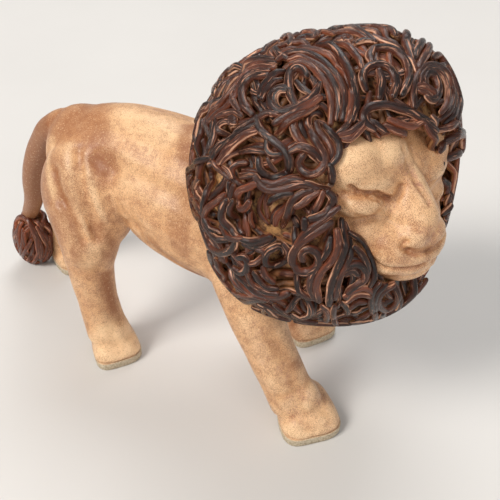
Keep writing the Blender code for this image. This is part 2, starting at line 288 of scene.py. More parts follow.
# Each paw's middle on the ground, half length, half width and the turn of its toes
PAWS = {
    "right_front": ((124, -38), 22, 19.5, -47),
    "left_front": ((88, 44), 22, 18, -38),
    "right_hind": ((-30, -37), 21, 17, -41),
    "left_hind": ((-127, 38), 21, 17, -26),
}


def sole_point(name, around, share):
    """A point on the ground at an angle round a paw, at a share of the way out to its outline."""
    (x, y), half_length, half_width, turn_deg = PAWS[name]
    turn = math.radians(turn_deg)
    squared = abs(math.cos(around)) ** PAW_SQUARENESS + abs(math.sin(around)) ** PAW_SQUARENESS
    reach = squared ** (-1 / PAW_SQUARENESS)
    along = half_length * share * reach * math.cos(around)
    across = half_width * share * reach * math.sin(around) * (1 + PAW_FLARE * math.cos(around))
    ahead = x + along * math.cos(turn) - across * math.sin(turn)
    return ahead, y + along * math.sin(turn) + across * math.cos(turn)


def paw(name):
    """A low dome on the outline of its sole, fullest over the toes."""
    bpy.ops.mesh.primitive_uv_sphere_add(segments=64, ring_count=40)
    dome = bpy.context.object
    for corner in dome.data.vertices:
        around = math.atan2(corner.co.y, corner.co.x)
        level = max(-1, min(1, corner.co.z))
        share = (1 - abs(level) ** DOME_SQUARENESS) ** (1 / DOME_SQUARENESS)
        x, y = sole_point(name, around, max(share, 0.001))
        corner.co = figure((x, y, (PAW_HEIGHT - 3 * math.cos(around)) * level))
    return dome


def sole_slab(name):
    """The slab of bare clay under a paw, cut with a knife: sharp at its top, worn at its foot."""
    bpy.ops.mesh.primitive_cylinder_add(vertices=96, radius=1, depth=1)
    slab = bpy.context.object
    for corner in slab.data.vertices:
        around = math.atan2(corner.co.y, corner.co.x)
        top = corner.co.z > 0
        uneven = 1 + 0.012 * math.sin(3 * around + len(name)) + 0.008 * math.sin(7 * around)
        x, y = sole_point(name, around, (0.975 if top else 0.955) * uneven)
        corner.co = figure((x, y, SOLE_THICKNESS if top else 0))
    modify(slab, "BEVEL", width=0.7 * MM, segments=2, angle_limit=0.6)
    return slab


def make_soles():
    soles = join([sole_slab(name) for name in PAWS], "soles")
    start_edit(soles)
    bpy.ops.mesh.normals_make_consistent(inside=False)
    end_edit()
    return soles


def torso():
    spine = [
        ((-55, 0, 143), 32),
        ((-40, 0, 142), 36.5),
        ((-10, 0, 143), 38),
        ((25, 0, 133), 46),
        ((58, 0, 128), 49),
        ((88, 0, 135), 46),
    ]
    return [limb(spine), mass((-56, 0, 144), (22, 29, 31))]


def lean(degrees):
    return (0, math.radians(degrees), 0)


def hind_legs():
    right = [
        ((-44, -18, 142), 15),
        ((-39, -29, 122), 25),
        ((-34, -35, 106), 22),
        ((-36, -38, 78), 16),
        ((-35, -39, 50), 14),
        ((-32, -39, 18), 15),
    ]
    left = [
        ((-56, 18, 142), 15),
        ((-70, 28, 122), 23),
        ((-86, 34, 106), 20.5),
        ((-115, 38, 78), 15),
        ((-124, 38, 50), 13.5),
        ((-128, 38, 18), 15),
    ]
    return [
        limb(right),
        limb(left),
        mass((-38, -24, 126), (34, 25, 43), lean(12)),
        mass((-57, 24, 124), (34, 25, 42), lean(24)),
        mass((-44.5, -38, 64), (9, 9, 16)),
        mass((-128, 38, 64), (9, 9, 16)),
        mass((-31, -38, 22), (16, 13, 18), lean(-30)),
        mass((-128, 38, 22), (16, 13, 18), lean(-26)),
    ]


def front_legs():
    right = [
        ((70, -20, 134), 14),
        ((80, -33, 112), 21),
        ((87, -38, 92), 18),
        ((100, -41, 60), 15.8),
        ((112, -42, 32), 15.5),
        ((116, -41, 16), 15),
    ]
    left = [
        ((66, 20, 134), 14),
        ((69, 33, 112), 21),
        ((71, 38, 92), 18),
        ((75, 41, 60), 16),
        ((79, 41, 32), 15.5),
        ((81, 42, 16), 15),
    ]
    return [
        limb(right),
        limb(left),
        mass((74, -25, 122), (32, 24, 38), lean(-14)),
        mass((68, 25, 122), (32, 24, 38), lean(-8)),
        mass((98, 0, 108), (22, 32, 28)),
        mass((117, -41, 23), (18, 13, 19), lean(-32)),
        mass((81, 41, 23), (18, 13, 19), lean(-28)),
    ]


TAIL_HALF = 13.5 / 2 / REAL_MM
TAIL_END = (-148, 22, 52)


def tail():
    return [
        limb(
            [
                ((-48, 0, 156), TAIL_HALF * 1.6),
                ((-66, 0, 161), TAIL_HALF * 1.25),
                ((-80, 0, 155), TAIL_HALF * 1.25),
                ((-94, 2, 141), TAIL_HALF * 1.15),
                ((-109, 5, 121), TAIL_HALF * 1.05),
                ((-121, 9, 99), TAIL_HALF),
                ((-130, 14, 78), TAIL_HALF * 0.95),
                (TAIL_END, TAIL_HALF * 0.85),
            ]
        )
    ]


# The head is turned to the lion's right and tilted; its own directions are forward, left and up
HEAD_CENTRE = Vector((112, 0, 165))
HEAD_TURN_DEG = -25
HEAD_TILT_DEG = 9
HEAD_TURN = Matrix.Rotation(math.radians(HEAD_TURN_DEG), 3, "Z")
HEAD_TILT = Matrix.Rotation(math.radians(-HEAD_TILT_DEG), 3, "X")
HEAD = HEAD_TURN @ HEAD_TILT


def in_head(forward, left, up):
    return HEAD_CENTRE + HEAD @ Vector((forward, left, up))


def other_side(point):
    """The same place on the other side of the face."""
    forward, left, up = HEAD.transposed() @ (Vector(point) - HEAD_CENTRE)
    return in_head(forward, -left, up)


def head_mass(centre, radii):
    return mass(in_head(*centre), radii, HEAD.to_euler())


def head_limb(stations):
    return limb([(in_head(*point), radius) for point, radius in stations])


def face_lumps():
    """Skull, bridge of the nose, muzzle, chin and jaw, then the brow, lid and cheek of each side."""
    bridge = [
        ((34, 0, 42), 12), ((52, 0, 32), 12.5), ((64, 0, 19), 12), ((74, 0, 6), 13.5), ((79, 0, -5), 8),
    ]
    near_brow = [
        ((61, -9, 25), 6), ((61, -17, 27), 8), ((58, -27, 29), 9), ((50, -37, 28), 8), ((37, -45, 22), 5),
    ]
    far_brow = [((60, 8, 25), 6.5), ((61, 18, 26), 9), ((57, 26, 25), 9.5), ((42, 39, 22), 6)]
    pieces = [
        head_mass((21, 0, 20), (49, 57, 41)),
        head_limb(bridge),
        head_mass((68, 0, -10), (21, 23, 15)),
        head_mass((67, 5, -22), (16, 20, 9)),
        head_mass((24, 0, -14), (36, 28, 28)),
        head_limb(near_brow),
        head_mass((51, -26, 34), (15, 20, 15)),
        head_mass((52, -12, 38), (15.5, 16, 13)),
        head_mass((59, -27, 17.5), (11, 14, 7.5)),
        head_limb(far_brow),
        head_mass((52, 20, 32), (14.5, 18, 14)),
        head_mass((56, 27, 9), (10.5, 12, 9.5)),
        head_mass((53, 25, 16), (11, 13, 12)),
    ]
    for side in (-1, 1):
        pieces += [
            head_mass((57, 13 * side, 8), (10, 9, 10)),
            head_mass((66, 12 * side, -8), (19, 15, 16)),
            head_mass((78, 6 * side, 2), (10, 10, 8.5)),
            head_mass((53, 19 * side, -4), (20, 18, 19)),
            head_mass((42, 22 * side, -4), (20, 19, 20)),
        ]
    return pieces


# Modelling strokes: name, path, half width and depth; a negative depth raises a ridge.
# The paths are pixels of the photograph, and the face's are pressed into its other side too
FACE_STROKES = [
    ("eye crease", [
        (350, 187), (357, 192.5), (368, 193.7), (377, 193.5), (382, 196), (391, 200),
    ], 1.2, 2.9),
    ("inner corner of the eye", [(388, 199.5), (394, 199.5), (399, 194), (402, 186)], 2.0, 2.0),
    ("eye slit", [(368, 195), (373, 198.5), (380, 201)], 1.2, 0.9),
    ("lower lid", [(366, 198), (373, 202), (378, 205), (384, 208)], 1.1, -0.5),
    ("top of the cheek", [(343, 192), (352, 194), (363, 197), (373, 202)], 1.5, 0.7),
    ("under the cheek", [(342, 204), (349, 211), (360, 217), (369, 218), (375, 217)], 2.4, 0.9),
    ("under the nose", [(409, 251), (416, 253), (424, 252.5), (431, 250)], 1.6, 1.2),
    ("upper lip", [(398, 252.5), (404, 256.5), (410, 258.5), (415, 259)], 1.7, -0.5),
    ("mouth", [
        (373, 260), (376, 264), (382, 267.5), (393, 269.5), (404, 269.5), (412, 268.5), (424, 265),
    ], 1.2, 2.1),
    ("lower lip", [(382, 272), (393, 274), (404, 274), (414, 272)], 2.0, -0.5),
    ("crown", [(352, 150), (368, 147), (384, 146)], 5, -0.5),
]

# Strokes for the right of the face alone
FURROWS = [
    ("between the brows", [
        (404, 148), (407, 160), (411, 170), (416, 181), (424, 193), (430, 203),
    ], 1.8, 1.3),
    ("second furrow", [(412, 150), (416, 160), (422, 170), (430, 180)], 1.6, 0.8),
    ("level beside the nose", [(384, 212), (388, 215), (393, 218)], 4.0, -1.6),
    ("beside the nose", [(398, 222), (402, 227), (404, 234)], 3.0, 0.5),
]

# The body's strokes that the photograph shows
FLANK_STROKES = [
    ("back of the haunch", [(53, 172), (56, 187), (61, 200), (67, 212), (75, 226), (82, 240)], 4.2, 3.2),
    ("middle of the haunch", [(77, 150), (78, 170), (80, 188), (86, 205), (92, 222), (97, 238)], 4.5, 3.2),
    ("front of the haunch", [(108, 180), (112, 198), (117, 214), (121, 224)], 6, 1.5),
    ("hip dimple", [(98, 160), (104, 164), (110, 170)], 8, 2.8),
    ("along the ribs", [(110, 167), (124, 172), (142, 179), (160, 187), (176, 196)], 8, 2.2),
    ("below the ribs", [(122, 196), (126, 208), (131, 220)], 8, 1.2),
    ("flank fold", [(124, 222), (132, 224), (140, 232), (148, 243)], 3.2, 1.0),
    ("belly edge", [(150, 240), (162, 252), (176, 263), (190, 271), (203, 277)], 3.0, 0.9),
    ("hollow of the hock", [(104, 276), (106, 290), (110, 304), (117, 318)], 4.5, 1.6),
    ("hock", [(74, 270), (86, 272), (98, 270)], 5, 0.7),
    ("heel cord", [(78, 290), (85, 310), (90, 326)], 4.5, 0.7),
    ("instep", [(88, 330), (98, 326), (110, 322)], 5, 0.6),
    ("outer forearm", [(246, 322), (256, 342), (264, 362), (272, 380)], 6, -0.8),
    ("inner forearm", [(272, 338), (284, 356), (292, 376), (296, 390)], 5, 1.1),
    ("wrist", [(264, 388), (268, 394), (272, 402)], 5, 0.9),
    ("front instep", [(280, 398), (292, 396), (304, 398), (314, 404)], 4, 0.7),
    ("front toes", [(318, 404), (326, 412), (331, 422)], 3.5, 0.7),
    ("front inner toe", [(296, 404), (304, 416), (307, 430)], 3.5, 0.5),
    ("hind toes", [(126, 330), (132, 338), (136, 346)], 3.5, 0.7),
    ("hind inner toe", [(110, 330), (115, 340), (118, 350)], 3.5, 0.5),
]

# The nostrils: the near one in pixels, the far one in the head's own directions
NOSTRIL_SEEN = [(407, 241.5), (403.5, 242.5), (401.5, 246), (404, 249.5), (409, 251)]
FAR_NOSTRIL = [(79, 17, 4), (76.5, 18.5, 1), (77, 18.5, -3), (80, 17, -5)]

# The left side's strokes, which the photograph doesn't show, in figure millimetres
FAR_STROKES = [
    ("left haunch", [(-96, 40, 140), (-92, 44, 120), (-98, 44, 104), (-108, 46, 90)], 6.5, 1.5),
    ("left haunch middle", [(-74, 46, 140), (-76, 50, 122), (-86, 50, 104), (-96, 50, 92)], 6.5, 1.4),
    ("left hip dimple", [(-52, 44, 148), (-46, 44, 143), (-40, 42, 138)], 8, 2.2),
    ("left ribs", [(-38, 40, 138), (-18, 40, 134), (4, 42, 128), (26, 46, 122)], 9, 1.4),
    ("left belly edge", [(-30, 28, 112), (-8, 28, 108), (16, 34, 98), (36, 38, 92)], 3.5, 0.9),
    ("left hock hollow", [(-113, 46, 62), (-113, 48, 50), (-114, 48, 36)], 4.5, 1.4),
    ("left forearm", [(80, 54, 84), (84, 56, 66), (88, 56, 48)], 5.5, 1.0),
    ("spine", [(-70, 0, 171), (-40, 0, 178), (-10, 0, 181), (20, 0, 181), (45, 0, 178)], 7, -0.9),
]


def distance_to(path, places):
    """How far each place is from a path of straight steps."""
    nearest = np.full(len(places), np.inf)
    for start, end in zip(path[:-1], path[1:]):
        start, end = np.array(start), np.array(end)
        step = end - start
        share = np.clip((places - start) @ step / max(step @ step, 1e-9), 0, 1)
        gap = np.linalg.norm(places - start - share[:, None] * step, axis=1)
        nearest = np.minimum(nearest, gap)
    return nearest


def press(thing, strokes):
    """Presses strokes of (path in figure millimetres, half width, depth) into a skin."""
    places, outward = corners_of(thing), normals_of(thing)
    depth = np.zeros(len(places))
    for path, half_width, amount in strokes:
        depth += amount * np.exp(-((distance_to(path, places) / half_width) ** 2))
    set_corners(thing, places - outward * depth[:, None])
    return thing


def skin_of(thing):
    return BVHTree.FromObject(thing, bpy.context.evaluated_depsgraph_get())


def hollows(thing, steps):
    """How deep each corner lies in a hollow: above 0 in creases, below 0 on ridges, in figure mm."""
    places, outward = corners_of(thing), normals_of(thing)
    ends = edge_ends(thing)
    soft = np.stack([evened(places[:, axis], ends, steps) for axis in range(3)], axis=1)
    return ((soft - places) * outward).sum(axis=1)


# How far the glazed clay is drawn in where it meets the bare soles
SOLE_STEP = 1.5


def make_trunk():
    pieces = torso() + hind_legs() + front_legs() + tail()
    pieces += [paw(name) for name in PAWS]
    trunk = fuse(pieces, "trunk", TRUNK_GRAIN, TRUNK_ROUNDING)
    skin = skin_of(trunk)
    strokes = [(seen_on(skin, path), width, depth) for _, path, width, depth in FLANK_STROKES]
    strokes += [(path, width, depth) for _, path, width, depth in FAR_STROKES]
    press(trunk, strokes)
    places, outward = corners_of(trunk), normals_of(trunk)
    uneven = 0.5 * np.sin(places[:, 0] * 0.31 + places[:, 1] * 0.23) + 0.3 * np.sin(places[:, 1] * 0.71)
    tucked = 1 - ease(places[:, 2] + uneven * 0.5, SOLE_THICKNESS - 0.2, SOLE_THICKNESS + 1.6)
    places[:, :2] -= outward[:, :2] * (SOLE_STEP * tucked)[:, None]
    set_corners(trunk, places)
    stand_flat(trunk)
    return trunk


def make_face():
    face = fuse(face_lumps(), "face", FACE_GRAIN, FACE_ROUNDING)
    skin = skin_of(face)
    strokes = [
        (seen_on(skin, NOSTRIL_SEEN), 1.2, 1.5),
        ([in_head(*point) for point in FAR_NOSTRIL], 1.4, 1.4),
    ]
    for _, path, width, depth in FACE_STROKES:
        near = seen_on(skin, path)
        strokes += [(near, width, depth), ([other_side(point) for point in near], width, depth)]
    strokes += [(seen_on(skin, path), width, depth) for _, path, width, depth in FURROWS]
    return press(face, strokes)


# Rolled coils of clay, laid one on another over a ball: a path's step, half thicknesses and tones
STEP = 1.5
THICKNESS = {"thick": 2.35, "plain": 1.9, "thin": 1.3}
TONES = {"dark": 0.12, "brown": 0.5, "red": 0.88}

# A coil is pressed into what lies under it by a share of its radius, and falls no faster at each step
PRESSED = 0.35
STEEPEST = 0.35

# What is left of a coil after a cut has to be at least this many steps long
FEWEST_STEPS = 5

# How far a curl runs, in figure millimetres, while it turns by one radian for each unit of bend
CURL_REACH = 14

# A coil's rounded end: how far out its rings stand and how wide they are, as shares of its radius
END_OUT = np.array([1.0, 0.92, 0.7, 0.35])
END_WIDTH = np.array([0.02, 0.4, 0.72, 0.94])

# Round a coil, in radians, where the cream line runs beside its neighbour; NO_LINE is never reached
NO_LINE = 9.0
MANE_LINES = [-1.6, -1.35, -1.1, 1.1, 1.35, 1.6, NO_LINE]
TUFT_LINES = [-1.4, 1.4, NO_LINE]


def smooth_path(points):
    """A flowing path through points, with a place every step."""
    points = np.array(points, dtype=float)
    if len(points) == 2:
        points = np.array([points[0], points.mean(axis=0), points[1]])
    padded = np.vstack([2 * points[0] - points[1], points, 2 * points[-1] - points[-2]])
    fine = []
    for i in range(1, len(padded) - 2):
        before, here, there, after = padded[i - 1 : i + 3]
        for share in np.linspace(0, 1, 12, endpoint=False):
            bend = 2 * before - 5 * here + 4 * there - after
            swing = 3 * here - before - 3 * there + after
            fine.append(here + 0.5 * ((there - before) * share + bend * share**2 + swing * share**3))
    fine.append(points[-1])
    fine = np.array(fine)
    walked = np.concatenate([[0], np.cumsum(np.linalg.norm(np.diff(fine, axis=0), axis=1))])
    stops = np.linspace(0, walked[-1], max(5, round(walked[-1] / STEP) + 1))
    return np.stack([np.interp(stops, walked, fine[:, axis]) for axis in range(3)], axis=1)


def tapered(radius, count):
    """The radii of a coil that narrows over its first and last three steps."""
    from_end = np.minimum(np.arange(count), np.arange(count)[::-1])
    return radius * np.minimum(1, 0.78 + 0.22 * from_end / 3)


def longest_run(kept):
    """The ends of the longest unbroken run of true marks."""
    best, start = (0, 0), None
    for index, mark in enumerate(list(kept) + [False]):
        if mark and start is None:
            start = index
        if not mark and start is not None:
            if index - start > best[1] - best[0]:
                best = (start, index)
            start = None
    return best


class Coils:
    """Coils of clay, gathered to become one mesh."""

    def __init__(self, name, sides):
        self.name = name
        self.turn = -math.pi + (np.arange(sides) + 0.5) * math.tau / sides
        self.corners = []
        self.faces = []
        self.notes = {"round": [], "along": [], "strand": [], "line": []}
        self.count = 0

    def roll(self, path, up, radii, tone, line):
        """One coil with rounded ends along a path; up is the way off the ball."""
        ahead = unit(np.gradient(path, axis=0))
        rings = len(END_OUT)
        first = path[0] - END_OUT[:, None] * ahead[0] * radii[0]
        last = path[-1] + END_OUT[::-1, None] * ahead[-1] * radii[-1]
        middle = np.vstack([first, path, last])
        order = np.clip(np.arange(-rings, len(path) + rings), 0, len(path) - 1)
        side = unit(np.cross(ahead, up))[order]
        over = np.cross(side, ahead[order])
        width = radii[order] * np.concatenate([END_WIDTH, np.ones(len(path)), END_WIDTH[::-1]])
        upward = np.cos(self.turn)[None, :, None] * over[:, None]
        sideways = np.sin(self.turn)[None, :, None] * side[:, None]
        places = middle[:, None] + (upward + sideways) * width[:, None, None]
        rows, sides = places.shape[:2]
        walked = np.concatenate([[0], np.cumsum(np.linalg.norm(np.diff(middle, axis=0), axis=1))])
        here = self.count + np.arange(rows - 1)[:, None] * sides + np.arange(sides)
        there = self.count + np.arange(rows - 1)[:, None] * sides + (np.arange(sides) + 1) % sides
        self.corners.append(places.reshape(-1, 3))
        self.faces.append(np.stack([here, there, there + sides, here + sides], axis=-1).reshape(-1, 4))
        self.notes["round"].append(np.tile(self.turn, rows))
        self.notes["along"].append(np.repeat(walked, sides))
        self.notes["strand"].append(np.full(rows * sides, tone))
        self.notes["line"].append(np.full(rows * sides, line))
        self.count += rows * sides

    def make(self):
        corners, faces = np.concatenate(self.corners), np.concatenate(self.faces)
        mesh = bpy.data.meshes.new(self.name)
        mesh.vertices.add(len(corners))
        mesh.loops.add(faces.size)
        mesh.polygons.add(len(faces))
        mesh.loops.foreach_set("vertex_index", faces.ravel())
        mesh.polygons.foreach_set("loop_start", np.arange(0, faces.size, 4))
        thing = bpy.data.objects.new(self.name, mesh)
        bpy.context.scene.collection.objects.link(thing)
        set_corners(thing, corners)
        mesh.validate()
        for name, values in self.notes.items():
            paint(thing, name, np.concatenate(values))
        start_edit(thing)
        bpy.ops.mesh.remove_doubles(threshold=0.00004)
        end_edit()
        return thing


class Tangle:
    """A ball of clay, and how high the coils laid on it stand, below 0 under its outer skin."""

    def __init__(self, centre, radii, bulges, lean, core_depth, fineness):
        self.centre, self.radii, self.bulges = np.array(centre, dtype=float), np.array(radii), bulges
        self.lean = np.array(lean)
        self.reach = float(np.mean(radii))
        self.core_depth = core_depth
        ball, self.ways = make_ball(fineness)
        self.ends = edge_ends(ball)
        bpy.data.objects.remove(ball)
        self.tree = KDTree(len(self.ways))
        for index, way in enumerate(self.ways):
            self.tree.insert(way, index)
        self.tree.balance()
        self.height = np.full(len(self.ways), -core_depth)
        self.gap = np.zeros(len(self.ways))

    def from_centre(self, places):
        """Places as they lie from the centre, with the ball's radii as units."""
        return (places - self.centre) @ self.lean / self.radii

    def places(self, ways, below):
        """Figure places that lie so far below the outer skin in unit directions."""
        size = np.ones(len(ways))
        for way, amount in self.bulges:
            size += amount * np.maximum(0, ways @ np.array(way)) ** 8
        below = np.reshape(np.broadcast_to(below, len(ways)), (-1, 1))
        return self.centre + (ways * (self.radii * size[:, None] - below)) @ self.lean.T

    def seen(self, pixels, below=0.4):
        """Directions from the centre to where the camera sees pixels just under the outer skin."""
        start = self.from_centre(np.array(CAMERA_PLACE))
        found = []
        for pixel in pixels:
            ahead = np.array(sight(pixel)) @ self.lean / self.radii
            level = 1 - below / self.reach
            for _ in range(4):
                a, b, c = ahead @ ahead, start @ ahead, start @ start - level**2
                reach = (-b - math.sqrt(max(b * b - a * c, 0))) / a
                way = unit(start + ahead * reach)
                level = np.linalg.norm(self.from_centre(self.places(way[None], below)[0]))
            found.append(way)
        return np.array(found)

    def open_gaps(self, gaps, depth):
        """Leaves deep gaps: pixel and radius in figure millimetres."""
        for pixel, radius in gaps:
            away = np.linalg.norm(self.ways - self.seen([pixel])[0], axis=1) * self.reach
            self.gap = np.maximum(self.gap, 1 - ease(away, 0.6 * radius, 1.3 * radius))
        self.height -= depth * self.gap

    def near(self, way, radius):
        """The ball's corners within a radius of a direction, and how far away each is."""
        found = self.tree.find_range(way, radius / self.reach)
        index = np.array([item[1] for item in found], dtype=int)
        return index, np.array([item[2] for item in found]) * self.reach

    def lay(self, ways, radii, highest):
        """Lays a coil along directions, on what lies there, and returns how high its middle is."""
        touched = [self.near(way, radius) for way, radius in zip(ways, radii)]
        held = np.full(len(ways), -self.core_depth)
        for number, ((index, away), radius) in enumerate(zip(touched, radii)):
            if len(index):
                held[number] = np.max(self.height[index] + np.sqrt(np.maximum(radius**2 - away**2, 0)))
        rest = held.copy()
        for reach in (1, 2):
            held[reach:] = np.maximum(held[reach:], rest[:-reach] - STEEPEST * reach)
            held[:-reach] = np.maximum(held[:-reach], rest[reach:] - STEEPEST * reach)
        for _ in range(4):
            padded = np.concatenate([held[:1], held, held[-1:]])
            held = (padded[:-2] + 2 * padded[1:-1] + padded[2:]) / 4
        held = np.minimum(held - PRESSED * radii, highest - radii)
        for (index, away), radius, level in zip(touched, radii, held):
            top = level + np.sqrt(np.maximum(radius**2 - away**2, 0))
            self.height[index] = np.maximum(self.height[index], top)
        return held

    def roam(self, rng, start, length, curl):
        """A run over the ball that sways and curls up towards its end."""
        way = unit(start)
        ahead = unit(np.cross(way, rng.normal(size=3)))
        sway, phase = rng.uniform(0.3, 0.9), rng.uniform(0, math.tau)
        run = [way]
        count = int(length / STEP)
        for number in range(count):
            share = number / count
            bend = sway * math.sin(phase + share * 5) + curl * share**2
            way = unit(way + ahead * STEP / self.reach)
            ahead = unit(ahead - way * (ahead @ way))
            ahead = unit(ahead + np.cross(way, ahead) * bend * STEP / CURL_REACH)
            run.append(way)
        return np.array(run)

    def beside(self, ways, distance):
        """The same run, a little to one side."""
        return unit(ways + unit(np.cross(ways, np.gradient(ways, axis=0))) * distance / self.reach)

    def depths(self, thing, soft):
        """Notes how far each corner lies down among the coils round it."""
        places = corners_of(thing)
        ways = unit(self.from_centre(places))
        level = np.sign(((places - self.places(ways, 0)) @ self.lean * ways).sum(axis=1))
        level = level * np.linalg.norm(places - self.places(ways, 0), axis=1)
        around = np.array([soft[self.tree.find(way)[1]] for way in ways])
        paint(thing, "depth", np.clip(around - level, -3, 6))


# The mane: a ball, and the directions in which it stands out or in by a share of its radius
MANE_CENTRE = (115, 0, 162)
MANE_RADII = (80, 81, 86)
MANE_BULGES = [
    ((-0.68, -0.20, 0.70), -0.05),
    ((-0.10, 0.36, 0.93), -0.06),
    ((0.52, 0.42, 0.74), 0.12),
    ((1.0, 0.05, -0.05), -0.07),
    ((-0.71, -0.67, -0.22), -0.08),
    ((-0.84, -0.48, 0.26), -0.04),
    ((0.25, -0.60, -0.76), -0.04),
    ((0.75, -0.35, -0.56), 0.04),
]
MANE_SEED = 7
MANE_CORE_DEPTH = 8.5
CORE_SLACK = 0.3
COIL_PITCH = 3.2

# How far coils may stand over the ball's outer skin, and those that the photograph shows
MANE_HIGHEST = 0.6
MANE_HIGHEST_SEEN = 2.6

# How many times a coil of the under layer, and a curl of several coils, is tried
UNDER_TRIES = 420
CURL_TRIES = 1500

# Curls begin away from the photograph's side, but for a few, and where nothing lies higher yet
SEEN_SIDE = 0.14
SEEN_SIDE_SHARE = 0.08
BEGIN_BELOW = -1.6

# A coil is cut off where it would run this deep inside the body or the face
DEEPEST_INSIDE = 2.0

# The face's window, in degrees as seen from the mane's centre: it widens as it rises
WINDOW_MIDDLE_DEG = 6
WINDOW_HALF_HEIGHT_DEG = 36
WINDOW_HALF_WIDTH_DEG = 30
WINDOW_WIDENING_DEG = 18
WINDOW_TILT_REACH = 70
WINDOW_CORE_DEPTH = 34
FAR_SIDE_MARGIN = 2.6

# Gaps that go deep between the coils: pixel and radius in figure millimetres
GAP_DEPTH = 4
DEEP_GAPS = [
    ((255, 96), 4), ((273, 204), 3.5), ((240, 198), 3), ((298, 138), 4), ((455, 144), 3), ((262, 155), 3.5),
    ((238, 154), 3.5), ((341, 214), 3),
]

